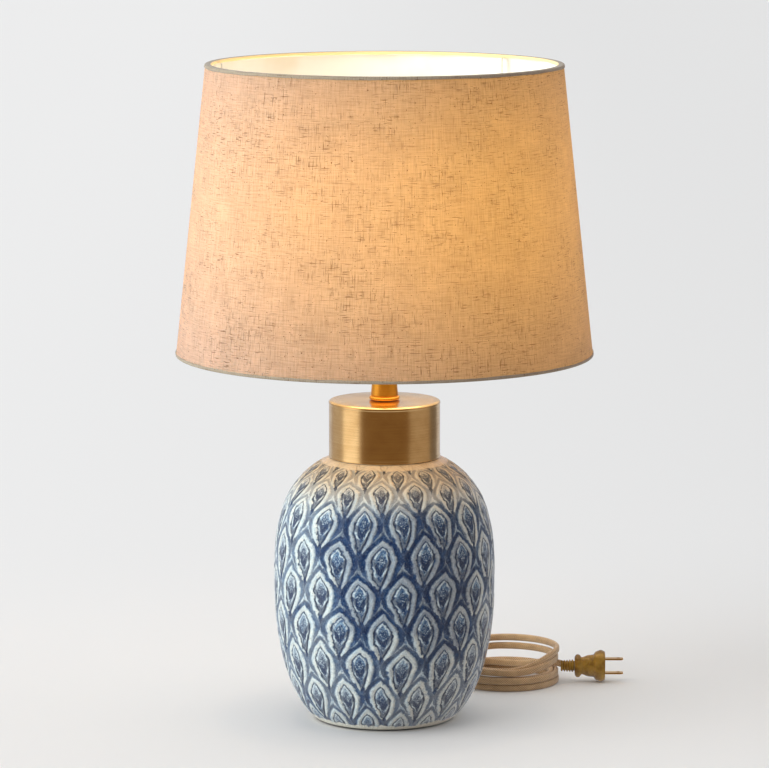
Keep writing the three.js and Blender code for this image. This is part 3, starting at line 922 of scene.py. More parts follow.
def mesh_of(name: str, nets: Sequence[Net], crease: float = CREASE) -> bpy.types.Mesh:
    """One closed mesh from nets, with poles merged and faces outward.

    Args:
        name: the mesh's name.
        nets: the grids.
        crease: edges sharper than this many degrees stay sharp.

    Returns:
        The mesh, in metres.
    """
    start, points, faces, places = 0, [], [], []
    for net in nets:
        numbers, uv = net.faces()
        points.append(net.points.reshape(-1, 3) * MM)
        faces.append(numbers + start)
        places.append(uv)
        start += len(points[-1])
    corners = np.concatenate(faces)
    mesh = bpy.data.meshes.new(name)
    mesh.vertices.add(start)
    mesh.vertices.foreach_set("co", np.concatenate(points).astype(np.float32).ravel())
    mesh.loops.add(corners.size)
    mesh.loops.foreach_set("vertex_index", corners.astype(np.int32).ravel())
    mesh.polygons.add(len(corners))
    mesh.polygons.foreach_set("loop_start", np.arange(0, corners.size, 4, dtype=np.int32))
    mesh.update(calc_edges=True)
    layer = mesh.uv_layers.new(name="cloth")
    layer.data.foreach_set("uv", np.concatenate(places).astype(np.float32).ravel())
    shape = bmesh.new()
    shape.from_mesh(mesh)
    bmesh.ops.remove_doubles(shape, verts=shape.verts, dist=WELD)
    if shape.calc_volume(signed=True) < 0.0:
        bmesh.ops.reverse_faces(shape, faces=shape.faces)
    shape.to_mesh(mesh)
    shape.free()
    mesh.polygons.foreach_set("use_smooth", np.ones(len(mesh.polygons), bool))
    mesh.set_sharp_from_angle(angle=math.radians(crease))
    mesh.update()
    return mesh


def rounded(corners: Sequence[tuple[float, float, float]], loop: bool = False, steps: int = 5) -> np.ndarray:
    """An outline whose corners are softened.

    Each corner is cut back along both its sides and a quadratic curve, whose middle handle is the
    corner itself, joins the cuts.

    Args:
        corners: (across, up, how far back to cut) in millimetres.
        loop: the last corner joins the first.
        steps: the points on a softened corner, less one.

    Returns:
        The outline's points.
    """
    spots = np.array([c[:2] for c in corners], float)
    made = []
    share = np.linspace(0.0, 1.0, steps + 1)[:, None]
    last = len(corners) - 1
    for number, (spot, (_, _, cut)) in enumerate(zip(spots, corners)):
        if cut <= 0.0 or (not loop and number in (0, last)):
            made.append(spot[None])
            continue
        before, after = spots[number - 1] - spot, spots[(number + 1) % len(spots)] - spot
        entry = spot + before * min(0.5, cut / np.linalg.norm(before))
        leave = spot + after * min(0.5, cut / np.linalg.norm(after))
        made.append((1 - share) ** 2 * entry + 2 * share * (1 - share) * spot + share**2 * leave)
    return np.concatenate(made)


def run_of(points: np.ndarray) -> np.ndarray:
    """The distance along a line of points, from 0."""
    return np.concatenate([[0.0], np.cumsum(np.linalg.norm(np.diff(points, axis=0), axis=1))])


def turned(outline: np.ndarray, sides: int, loop: bool = False, shift: np.ndarray | float = 0.0) -> Net:
    """An outline of (radius, height) carried once round Z from the back.

    A point is (radius * cos, radius * sin, height); a shift moves each point's radius.

    Args:
        outline: the points, from axis to axis or in a loop.
        sides: how many steps make the turn.
        loop: the outline is a ring's section.
        shift: what is added to the radius, by outline point and side.

    Returns:
        The net, with metres round and along it as its place on the finish.
    """
    turn = np.arange(sides) / sides
    angle = math.pi / 2.0 + FULL_TURN * turn
    radius = outline[:, :1] + shift
    height = np.broadcast_to(outline[:, 1:], (len(outline), sides))
    points = np.stack([radius * np.cos(angle), radius * np.sin(angle), height], axis=-1)
    closed = np.concatenate([outline, outline[:1]]) if loop else outline
    mean = float(outline[:, 0].mean())
    round_it = np.linspace(0.0, FULL_TURN * mean * MM, sides + 1)
    along = run_of(closed) * MM
    uv = np.stack(np.broadcast_arrays(round_it[None, :], along[:, None]), axis=-1)
    return Net(points, loop, True, uv)


def laid(net: Net, origin: Sequence[float], along: Sequence[float]) -> Net:
    """A net made round Z, turned so that Z points along a direction, and moved to an origin.

    Args:
        net: the net.
        origin: where its own origin goes.
        along: where its Z points.

    Returns:
        The moved net.
    """
    ahead = np.array(along, float) / np.linalg.norm(along)
    helper = UP if abs(ahead[2]) < 0.9 else np.array([0.0, 1.0, 0.0])
    side = np.cross(helper, ahead)
    side /= np.linalg.norm(side)
    basis = np.stack([side, np.cross(ahead, side), ahead])
    return Net(net.points @ basis + np.array(origin, float), net.loop_rows, net.loop_columns, net.uv)


def circle(radius: float, sides: int) -> np.ndarray:
    """A round section."""
    angle = FULL_TURN * np.arange(sides) / sides
    return radius * np.stack([np.cos(angle), np.sin(angle)], axis=-1)


def carried(path: np.ndarray, section: np.ndarray, upright: Sequence[float], capped: bool = True) -> Net:
    """A section carried along a path.

    Each point is the path's point + across * side + up * rise, where side is square to the path and
    the upright, and rise is square to both.

    Args:
        path: the points that it follows.
        section: (across, up) points, the same all along or one set for each point of the path.
        upright: the direction that the section's up leans towards.
        capped: close both ends.

    Returns:
        The net, with metres round and along it as its place on the finish.
    """
    tangent = np.gradient(path, axis=0)
    tangent /= np.linalg.norm(tangent, axis=1, keepdims=True)
    side = np.cross(tangent, np.array(upright, float))
    side /= np.linalg.norm(side, axis=1, keepdims=True)
    rise = np.cross(side, tangent)
    shape = np.broadcast_to(section, (len(path), *section.shape[-2:]))
    points = path[:, None] + shape[..., :1] * side[:, None] + shape[..., 1:] * rise[:, None]
    run = run_of(path)
    girth = run_of(np.concatenate([shape[0], shape[0][:1]]))
    if capped:
        first = np.broadcast_to(points[:1].mean(axis=1, keepdims=True), points[:1].shape)
        final = np.broadcast_to(points[-1:].mean(axis=1, keepdims=True), points[-1:].shape)
        points = np.concatenate([first, points, final])
        run = np.concatenate([[run[0] - 1.0], run, [run[-1] + 1.0]])
    uv = np.stack(np.broadcast_arrays(girth[None, :] * MM, run[:, None] * MM), axis=-1)
    return Net(points, False, True, uv)


def spline(knots: Sequence[Sequence[float]], spacing: float) -> np.ndarray:
    """A centripetal Catmull-Rom curve through the knots, resampled evenly.

    Args:
        knots: the points it passes, in millimetres.
        spacing: the distance between the points returned.

    Returns:
        Points along the curve.
    """
    spots = np.array(knots, float)
    spots = np.concatenate([[2 * spots[0] - spots[1]], spots, [2 * spots[-1] - spots[-2]]])
    gap = np.sqrt(np.linalg.norm(np.diff(spots, axis=0), axis=1))
    time = np.concatenate([[0.0], np.cumsum(gap)])
    share = np.linspace(0.0, 1.0, 24, endpoint=False)[None, :, None]
    a, b, c, d = (spots[i : len(spots) - 3 + i, None] for i in range(4))
    ta, tb, tc, td = (time[i : len(time) - 3 + i, None, None] for i in range(4))
    t = tb + (tc - tb) * share

    def between(p: np.ndarray, q: np.ndarray, tp: np.ndarray, tq: np.ndarray) -> np.ndarray:
        """The straight mix of two points by time."""
        return (tq - t) / (tq - tp) * p + (t - tp) / (tq - tp) * q

    ab, bc, cd = between(a, b, ta, tb), between(b, c, tb, tc), between(c, d, tc, td)
    dense = between(between(ab, bc, ta, tc), between(bc, cd, tb, td), tb, tc).reshape(-1, 3)
    dense = np.concatenate([dense, spots[-2:-1]])
    run = run_of(dense)
    even = np.linspace(0.0, run[-1], max(2, round(run[-1] / spacing) + 1))
    return np.stack([np.interp(even, run, dense[:, i]) for i in range(3)], axis=-1)


def bezier(*handles: Sequence[float], steps: int = 24) -> np.ndarray:
    """A cubic curve, (1-t)^3 a + 3t(1-t)^2 b + 3t^2(1-t) c + t^3 d.

    Args:
        handles: its four handles a, b, c and d.
        steps: how many steps it takes.

    Returns:
        Points along it.
    """
    t = np.linspace(0.0, 1.0, steps + 1)[:, None]
    a, b, c, d = (np.array(h, float) for h in handles)
    return (1 - t) ** 3 * a + 3 * t * (1 - t) ** 2 * b + 3 * t**2 * (1 - t) * c + t**3 * d


def add_piece(
    name: str,
    nets: Sequence[Net],
    finish: Finish,
    body: str,
    stands_for: Sequence[str] = (),
    crease: float = CREASE,
) -> bpy.types.Object:
    """Makes a piece, dresses it and lets it ride on a body.

    Args:
        name: the piece's name.
        nets: its surfaces.
        finish: its finish.
        body: the CAD body that it moves with.
        stands_for: the CAD nodes that it replaces.
        crease: the angle past which its edges are sharp.

    Returns:
        The object.
    """
    mesh = mesh_of(name, nets, crease)
    mesh.materials.append(material_of(finish))
    made = bpy.data.objects.new(name, mesh)
    bpy.context.scene.collection.objects.link(made)
    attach(made, body)
    if stands_for:
        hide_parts(*stands_for)
    LOG.info("%s: %d faces on %s", name, len(mesh.polygons), body)
    return made


def dress(finish: Finish, *nodes: str) -> None:
    """Gives CAD nodes that are shown as they are a finish.

    Args:
        finish: the finish.
        nodes: the nodes' names.
    """
    for name in nodes:
        node = frame["nodes"][name]
        node.data.materials.clear()
        node.data.materials.append(material_of(finish))
        LOG.info("%s: dressed in %s", name, finish.name)


def box(node: str) -> tuple[np.ndarray, np.ndarray]:
    """A CAD node's lowest and highest corners in millimetres."""
    low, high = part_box(node)
    return np.array(low) / MM, np.array(high) / MM


# ------------------------------------------------------------------ studio


@dataclass(frozen=True)
class Studio:
    """A pale floor, soft light from the left and all round, and the camera. Lengths in metres."""

    distance: float = 3.5
    camera_height: float = 0.8158
    pitch: float = 8.566
    lens: float = 194.7
    floor_half: float = 60.0
    sky: float = 0.95
    front_loss: float = 0.88
    key_power: float = 71.0
    sun_power: float = 1.0
    side_power: float = 62.0
    cool: Colour = (0.70, 0.91, 1.0)
    side_cool: Colour = (0.72, 0.90, 1.0)
    sun_tint: Colour = (0.96, 0.98, 1.0)
    front: Colour = (0.21, 0.13, 0.058)
    window: Colour = (1.20, 1.12, 1.0)
    near_window: Colour = (0.52, 0.48, 0.44)
    right: Colour = (0.42, 0.34, 0.26)
    far_right: Colour = (0.19, 0.17, 0.16)
    back: Colour = (0.62, 0.64, 0.70)
    above: Colour = (0.80, 0.77, 0.72)
    below: Colour = (0.72, 0.70, 0.68)

    def camera(self) -> None:
        """A long lens, square on to the front and looking a little down."""
        lens = bpy.data.cameras.new("camera")
        lens.lens = self.lens
        lens.clip_end = 200.0
        eye = bpy.data.objects.new("camera", lens)
        eye.location = (0.0, -self.distance, self.camera_height)
        eye.rotation_euler = (math.radians(90.0 - self.pitch), 0.0, 0.0)
        bpy.context.scene.collection.objects.link(eye)
        bpy.context.scene.camera = eye
        bpy.context.scene.view_settings.view_transform = "Standard"

    def world(self) -> None:
        """An even sky; gloss sees a darker room with a bright window on the left and a dim one right."""
        world = bpy.data.worlds.new("studio")
        bpy.context.scene.world = world
        world.use_nodes = True
        bench = Bench(world.node_tree)
        x, y, z = bench.parts(bench.place(Space.SKY))
        azimuth = np.arctan2(x, -y) * (180.0 / math.pi)
        side = np.absolute(azimuth)
        behind = smooth(134.0, 144.0, side)
        room = bench.mix(band(58.0, 94.0, 9.0, -azimuth), self.front, self.window)
        room = bench.mix(band(98.0, 134.0, 6.0, -azimuth), room, self.near_window)
        room = bench.mix(band(56.0, 108.0, 6.0, azimuth), room, self.right)
        room = bench.mix(smooth(104.0, 112.0, azimuth), room, self.far_right)
        room = bench.mix(behind, room, self.back)
        room = bench.mix(smooth(0.2, 0.7, z), room, self.above)
        room = bench.mix(smooth(0.3, 0.7, -z), room, self.below)
        ahead = (1.0 - smooth(35.0, 100.0, side)) * (1.0 - smooth(0.45, 0.85, z))
        even = self.sky * (1.0 - ahead * self.front_loss)
        gloss = bench.node("ShaderNodeLightPath").outputs["Is Glossy Ray"]
        tone = bench.mix(Signal(bench, gloss), bench.vector(even, even, even), room)
        sky = bench.node("ShaderNodeBackground", None, {0: tone, 1: 1.0})
        bench.node("ShaderNodeOutputWorld", None, {0: Signal(bench, sky.outputs[0])})

    def floor(self) -> None:
        """A very wide plain floor, faintly mottled, that gloss does not see."""
        half = self.floor_half / MM
        corner = np.array([-half, half])
        across, along = np.meshgrid(corner, corner)
        points = np.stack([across, along, np.zeros_like(across)], axis=-1)
        net = Net(points, False, False, np.zeros((2, 2, 2)))
        mesh = mesh_of("floor", [net])
        mesh.materials.append(material_of(FLOOR))
        ground = bpy.data.objects.new("floor", mesh)
        bpy.context.scene.collection.objects.link(ground)
        ground.visible_glossy = False

    def lights(self) -> None:
        """A broad window of light from the left, and a soft sun that lays the shadow behind right."""
        window = bpy.data.lights.new("window", "AREA")
        window.shape = "RECTANGLE"
        window.size, window.size_y = 1.6, 1.8
        window.energy = self.key_power
        window.color = self.cool
        hung = self._hang(window, (-1.85, -1.0, 0.9), (0.0, 0.0, 0.3))
        hung.light_linking.receiver_collection = all_but("not_floor", "floor")
        sun = bpy.data.lights.new("sun", "SUN")
        sun.angle = math.radians(50.0)
        sun.energy = self.sun_power
        sun.color = self.sun_tint
        self._hang(sun, (-2.1, -1.3, 2.0), (0.0, 0.0, 0.0))

    def side_window(self) -> None:
        """Light from the left on the shade's cloth alone, set once the cloth is there."""
        side = bpy.data.lights.new("side_window", "AREA")
        side.shape = "RECTANGLE"
        side.size, side.size_y = 0.7, 1.2
        side.energy = self.side_power
        side.color = self.side_cool
        beside = self._hang(side, (-2.0, 0.75, 0.8), (0.0, 0.0, 0.44))
        beside.light_linking.receiver_collection = only("cloth_side", "linen_cover", "linen_lap")

    @staticmethod
    def _hang(light: bpy.types.Light, place: Sequence[float], aim: Sequence[float]) -> bpy.types.Object:
        """Hangs a light at a place and points it at another.

        Args:
            light: the light.
            place: where it hangs.
            aim: what it points at.

        Returns:
            The light's object, which gloss does not see.
        """
        lamp = bpy.data.objects.new(light.name, light)
        lamp.location = place
        lamp.rotation_mode = "QUATERNION"
        lamp.rotation_quaternion = (Vector(place) - Vector(aim)).to_track_quat("Z", "Y")
        lamp.visible_glossy = False
        bpy.context.scene.collection.objects.link(lamp)
        return lamp

    def build(self) -> None:
        """The camera first, then the room."""
        self.camera()
        self.world()
        self.floor()
        self.lights()


def all_but(name: str, *left_out: str) -> bpy.types.Collection:
    """A light's list of what it falls on: everything but the named objects.

    Args:
        name: the list's name.
        left_out: the objects that it leaves out.

    Returns:
        The list.
    """
    listed = bpy.data.collections.new(name)
    for number, item in enumerate(left_out):
        listed.objects.link(bpy.data.objects[item])
        listed.collection_objects[number].light_linking.link_state = "EXCLUDE"
    return listed


def only(name: str, *kept: str) -> bpy.types.Collection:
    """A light's list of what it falls on, or is blocked by: the named objects alone.

    Args:
        name: the list's name.
        kept: the objects in it.

    Returns:
        The list.
    """
    listed = bpy.data.collections.new(name)
    for item in kept:
        listed.objects.link(bpy.data.objects[item])
    return listed


# ------------------------------------------------------------------ flex


@dataclass(frozen=True)
class Flex:
    """The twin flex: out of the boot, along the table, six turns of coil, and a tail to the plug.

    It stands on edge all the way, so its width is upright.
    """

    width: float = 6.2
    thickness: float = 4.3
    layer: float = 6.35
    outer_turn: float = 46.6
    first_hump: float = 6.6
    last_hump: float = 13.6
    centre: tuple[float, float] = (108.5, 136.0)
    lead: tuple[tuple[float, float, float], ...] = (
        (0, 97.0, 11), (0, 108, 10.6), (1, 120, 7.8), (4.5, 134, 4.6), (12, 149, 3.2), (24, 163, 3.1),
        (40, 173.5, 3.1), (58, 179.5, 3.1), (72, 181.2, 3.1), (83.5, 181.4, 3.1),
    )
    tail: tuple[tuple[float, float, float], ...] = (
        (79.6, 161.4, 14.6), (87, 166.4, 12.4), (98, 166.5, 11.0), (111, 163.0, 10.6), (124, 157.0, 11.4),
        (136, 149.6, 13.8), (145, 143.4, 15.9), (152, 138.0, 16.6), (157.5, 134.6, 16.0), (163, 133.2, 15.0),
    )

    def section(self) -> np.ndarray:
        """Twin cores side by side: an oval, flattened, with a shallow groove down each face.

        Returns:
            The section's (across, up) points.
        """
        angle = FULL_TURN * np.arange(20) / 20
        groove = 1.0 - 0.16 * np.exp(-((np.sin(angle) / 0.30) ** 2))
        across = 0.5 * self.thickness * np.cos(angle) * groove
        up = 0.5 * self.width * np.sign(np.sin(angle)) * np.abs(np.sin(angle)) ** 0.8
        return np.stack([across, up], axis=-1)

    def coil(self) -> np.ndarray:
        """The turns: spirals in, out and in again, one layer on the next.

        The radius and height are smooth functions of the turn number. Both turns of the third layer
        lift at the back and right, where the tail passes under them, the last one more.

        Returns:
            Points along the turns.
        """
        turn = np.arange(0.04, 5.80, 1.0 / 30.0)
        places = (0.0, 1.62, 1.84, 3.62, 3.86, 4.80, 5.00, 5.28, 5.48, 5.86)
        inward = (0.0, 7.7, 7.9, 0.2, 0.0, 4.4, 1.0, 1.0, 7.2, 8.8)
        radius = self.outer_turn - np.interp(turn, places, inward)
        angle = FULL_TURN * turn
        height = 0.5 * self.width + self.layer * (smooth(1.62, 1.84, turn) + smooth(3.62, 3.90, turn))
        first = smooth(3.74, 3.98, turn) * (1.0 - smooth(4.28, 4.50, turn))
        last = smooth(4.66, 4.92, turn) * (1.0 - smooth(5.27, 5.50, turn))
        height = height + first * self.first_hump + last * self.last_hump
        height = height + smooth(4.40, 4.60, turn) * 0.8 - smooth(5.62, 5.80, turn) * 1.2
        x = self.centre[0] + radius * np.sin(angle)
        y = self.centre[1] + radius * np.cos(angle)
        return np.stack([x, y, height], axis=-1)

    def route(self) -> np.ndarray:
        """The flex's middle line from the boot to inside the plug."""
        knots = np.concatenate([np.array(self.lead, float), self.coil(), np.array(self.tail, float)])
        return spline(knots, 1.6)

    def boot(self) -> None:
        """A tapered boot with ribs, from the wall to where the flex comes out."""
        low, high = box("cord_boot")
        height = float(low[2] + high[2]) / 2.0
        length = float(high[1] - low[1])
        outline = [(0, 0, 0), (6.4, 0, 0.4), (6.4, 1.6, 0.4), (4.6, 2.4, 0.4), (4.6, 20.5, 0.3)]
        ribs = np.linspace(21.5, length - 4.0, 7)
        for number, start in enumerate(ribs[:-1]):
            radius = 4.8 - 0.18 * number
            outline += [(radius, start, 0.4), (radius, start + 1.7, 0.4), (radius - 0.75, start + 2.1, 0.3)]
            outline += [(radius - 0.75, start + 2.7, 0.3)]
        outline += [(3.6, length - 2.0, 0.4), (3.5, length, 0.5), (0, length, 0)]
        net = laid(turned(rounded(outline), 40), (0.0, float(low[1]), height), (0.0, 1.0, 0.0))
        add_piece("flex_boot", [net], AMBER, "base", ["cord_boot"])

    def plug(self) -> list[bpy.types.Object]:
        """The ribbed relief and the body with its two flanges, both flattened across.

        Returns:
            The two pieces.
        """
        low, high = box("plug_strain_relief")
        middle = float(low[1] + high[1]) / 2.0
        centre = (float(low[0]), middle, float(low[2] + high[2]) / 2.0)
        outline = [(0, 0, 0), (4.4, 0, 0.5)]
        for rib in range(5):
            start, radius = 0.2 + rib * 2.35, 4.9 + 0.16 * rib
            outline += [(radius, start + 0.2, 0.35), (radius, start + 1.35, 0.35)]
            outline += [(radius - 1.1, start + 1.6, 0.25), (radius - 1.1, start + 2.1, 0.25)]
        outline += [(4.6, 12.1, 0.3), (0, 12.1, 0)]
        relief = self._flat(turned(rounded(outline), 40), 0.72, centre)
        body_low, body_high = box("plug_body")
        outline = [
            (0, 0, 0), (8.0, 0, 1.0), (10.4, 1.4, 1.6), (10.4, 4.4, 1.6), (7.6, 6.2, 1.0), (8.2, 8.4, 1.5),
            (9.6, 11.4, 2.0), (10.1, 17.0, 0.8), (12.6, 18.4, 0.8), (14.25, 22.6, 0.8), (14.25, 24.2, 0.6),
            (12.8, 27.0, 0.5), (0, 27.0, 0),
        ]
        centre = (float(body_low[0]), middle, float(body_low[2] + body_high[2]) / 2.0)
        body = self._flat(turned(rounded(outline), 56), 0.64, centre)
        made = [add_piece("plug_relief", [relief], AMBER, "base", ["plug_strain_relief"])]
        made.append(add_piece("plug_moulding", [body], AMBER, "base", ["plug_body"]))
        dress(BLADE_BRASS, "plug_blade_upper", "plug_blade_lower")
        return made

    @staticmethod
    def _flat(net: Net, share: float, origin: tuple[float, float, float]) -> Net:
        """A turned net laid along X, squared off a little and thinned across.

        Args:
            net: the net, made round Z.
            share: its thickness as a share of its width.
            origin: where its own origin goes.

        Returns:
            The flattened net.
        """
        x, y, z = net.points[..., 0], net.points[..., 1], net.points[..., 2]
        radius = np.maximum(np.hypot(x, y), 1e-6)
        square = 1.0 + 0.10 * (1.0 - np.maximum(np.abs(x), np.abs(y)) / radius) / 0.2929
        points = np.stack([z, x * share * square, y * np.minimum(square, 1.04)], axis=-1)
        limit = np.abs(net.points[..., :2]).max()
        points[..., 2] = np.clip(points[..., 2], -limit, limit)
        return Net(points + np.array(origin), net.loop_rows, net.loop_columns, net.uv)

    def build(self) -> None:
        """The boot, the plug and the flex between them."""
        self.boot()
        on_it = self.plug()
        path = self.route()
        flex = add_piece(
            "flex", [carried(path, self.section(), UP)], BRAID, "base",
            ["cord_lead", "cord_coil"], 80.0,
        )
        length = float(run_of(path)[-1]) * MM
        LOG.info("flex is %.3f m long", length)
        [tuple(p) for p in path * MM]


# ------------------------------------------------------------------ ceramic body


@dataclass(frozen=True)
class CeramicBody:
    """The glazed body: a bellied wall with the tooled pattern standing on it as real relief."""

    pattern: OgeePattern = OgeePattern()
    belly_height: float = 115.3
    shoulder: float = 226.3
    collar: float = 43.5
    columns: int = 592
    rows: int = 146
    row_pitch: float = 30.66
    first_row: float = 37.0

    def wall(self) -> np.ndarray:
        """The outside from the foot to the shoulder, evenly spaced.

        The radius is the belly's times (1 - (|z - belly height| / reach)^rise)^(1 / rounding), with one
        reach, rise and rounding above the belly and another below.

        Returns:
            The wall's (radius, height) points.
        """
        low, high = box("ceramic_vase")
        belly = float(high[0])
        height = np.linspace(float(low[2]), self.shoulder, 3000)
        above = height > self.belly_height
        reach = np.where(above, 119.7, 126.6)
        rise = np.where(above, 3.2, 1.95)
        rounding = np.where(above, 2.2, 3.7)
        share = np.abs(height - self.belly_height) / reach
        radius = belly * (1.0 - share**rise) ** (1.0 / rounding)
        line = np.stack([radius, height], axis=-1)
        run = run_of(line)
        even = np.linspace(0.0, run[-1], self.rows)
        return np.stack([np.interp(even, run, line[:, 0]), np.interp(even, run, line[:, 1])], axis=-1)

    def rows_up(self, run: np.ndarray) -> np.ndarray:
        """How many pattern rows up the wall a distance along it is; the top rows crowd together."""
        crowd = np.maximum(run - 190.0, 0.0) / 44.8
        return (run - self.first_row) / self.row_pitch + 0.5 * crowd**2

    def body(self) -> None:
        """The wall with its relief, the collar under the cap, and the foot ring."""
        wall = self.wall()
        low, high = box("ceramic_vase")
        foot, floor = float(wall[0, 0]), float(low[2])
        run = run_of(wall)
        turn = np.arange(self.columns) / self.columns
        across = self.pattern.eyes_round * (turn - 0.5)
        along = self.rows_up(run)
        raised = self.pattern.relief(across[None, :], along[:, None])
        shown = smooth(-1.05, -0.9, along) * (1.0 - smooth(7.35, 7.45, along))
        raised = raised * shown[:, None]
        collar = rounded([
            (self.collar + 0.6, self.shoulder + 0.4, 0.4), (self.collar, self.shoulder + 2.0, 1.0),
            (self.collar, float(high[2]) - 0.2, 1.0), (self.collar - 5.0, float(high[2]) - 0.2, 1.0),
            (self.collar - 5.0, self.shoulder - 5.0, 2.0), (80.0, 170.0, 20.0), (86.0, 115.0, 20.0),
            (70.0, 40.0, 12.0), (52.0, 32.0, 4.0), (7.0, 32.0, 1.0), (7.0, 26.0, 1.0), (54.0, 26.0, 2.0),
            (foot - 7.0, floor + 1.2, 1.0), (foot - 1.2, floor, 0.6),
        ], steps=2)
        outline = np.concatenate([wall, collar])
        shift = np.concatenate([raised, np.zeros((len(collar), self.columns))])
        slope = np.gradient(wall, axis=0)
        slope /= np.linalg.norm(slope, axis=1, keepdims=True)
        net = turned(outline, self.columns, True)
        angle = math.pi / 2.0 + FULL_TURN * turn
        out = np.stack([
            slope[:, 1:] * np.cos(angle),
            slope[:, 1:] * np.sin(angle),
            np.broadcast_to(-slope[:, :1], raised.shape),
        ], axis=-1)
        net.points[: len(wall)] += shift[: len(wall), :, None] * out
        edge = self.pattern.eyes_round * (np.arange(self.columns + 1) / self.columns - 0.5)
        rest = np.linspace(9.0, 9.5, len(collar) + 1)
        up = np.concatenate([along, rest])
        up[-1] = -1.6
        up[-2] = -1.5
        net.uv = np.stack(np.broadcast_arrays(edge[None, :], up[:, None]), axis=-1)
        add_piece("ceramic_body", [net], GLAZE, "base", ["ceramic_vase"], 60.0)

    def build(self) -> None:
        """The body, and the hidden stack that clamps it."""
        self.body()
        dress(FELT, "felt_pad")
        dress(RUBBER, "rubber_washer")
        dress(ZINC, "steel_washer", "bottom_nut", "threaded_pipe", "cap_locknut")
        dress(BRAID, "inner_cord")


# ------------------------------------------------------------------ brass cap and neck


@dataclass(frozen=True)
class BrassStack:
    """The drum cap over the shoulder, the bead on it and the tapered neck."""

    sides: int = 160
    sheet: float = 1.2
    bore: float = 5.8
    bead_bore: float = 9.4
    bead_bulge: float = 1.6

    def build(self) -> None:
        """Spun cap with a soft top edge and a hemmed skirt, a bead, and the neck tube."""
        low, high = box("brass_cap")
        radius, top, skirt = float(high[0]), float(high[2]), float(low[2])
        inside = radius - self.sheet
        cap = rounded([
            (inside, skirt + 0.2, 0.3), (radius - 0.1, skirt, 0.5), (radius, skirt + 2.2, 0.6),
            (radius - 0.25, skirt + 3.0, 0.4), (radius - 0.25, top - 3.4, 0.6), (radius, top - 2.6, 0.5),
            (radius, top - 1.1, 0.7), (radius - 1.6, top, 1.3), (self.bore, top, 0.3),
            (self.bore, top - self.sheet, 0.3), (inside, top - self.sheet, 0.5),
        ], loop=True)
        drum = turned(cap, self.sides, True)
        add_piece("spun_cap", [drum], CAP_BRASS, "base", ["brass_cap"])

        low, high = box("check_ring")
        ring, seat, crest = float(high[0]), float(low[2]), float(high[2])
        angle = np.linspace(-math.pi / 2.0, math.pi / 2.0, 15)
        across = ring - self.bead_bulge + self.bead_bulge * np.cos(angle)
        up = (seat + crest) / 2.0 + (crest - seat) / 2.0 * np.sin(angle)
        bead = np.stack([across, up], axis=-1)
        bead = np.concatenate([bead, [[self.bead_bore, crest], [self.bead_bore, seat]]])
        add_piece("neck_bead", [turned(bead, 72, True)], NECK_BRASS, "base", ["check_ring"])

        low, high = box("neck_tube")
        base, base_radius, tip = float(low[2]), float(high[0]), float(high[2])
        neck = rounded([
            (base_radius - 1.4, base, 0.2), (base_radius, base, 0.3), (base_radius, base + 1.6, 0.5),
            (10.65, 290.5, 6.0), (9.6, 308.0, 5.0), (9.6, tip, 0.4),
            (8.2, tip, 0.4), (8.2, 308.0, 3.0), (9.25, 290.5, 3.0),
        ], loop=True)
        add_piece("neck", [turned(neck, 72, True)], NECK_BRASS, "base", ["neck_tube"])


# ------------------------------------------------------------------ harp


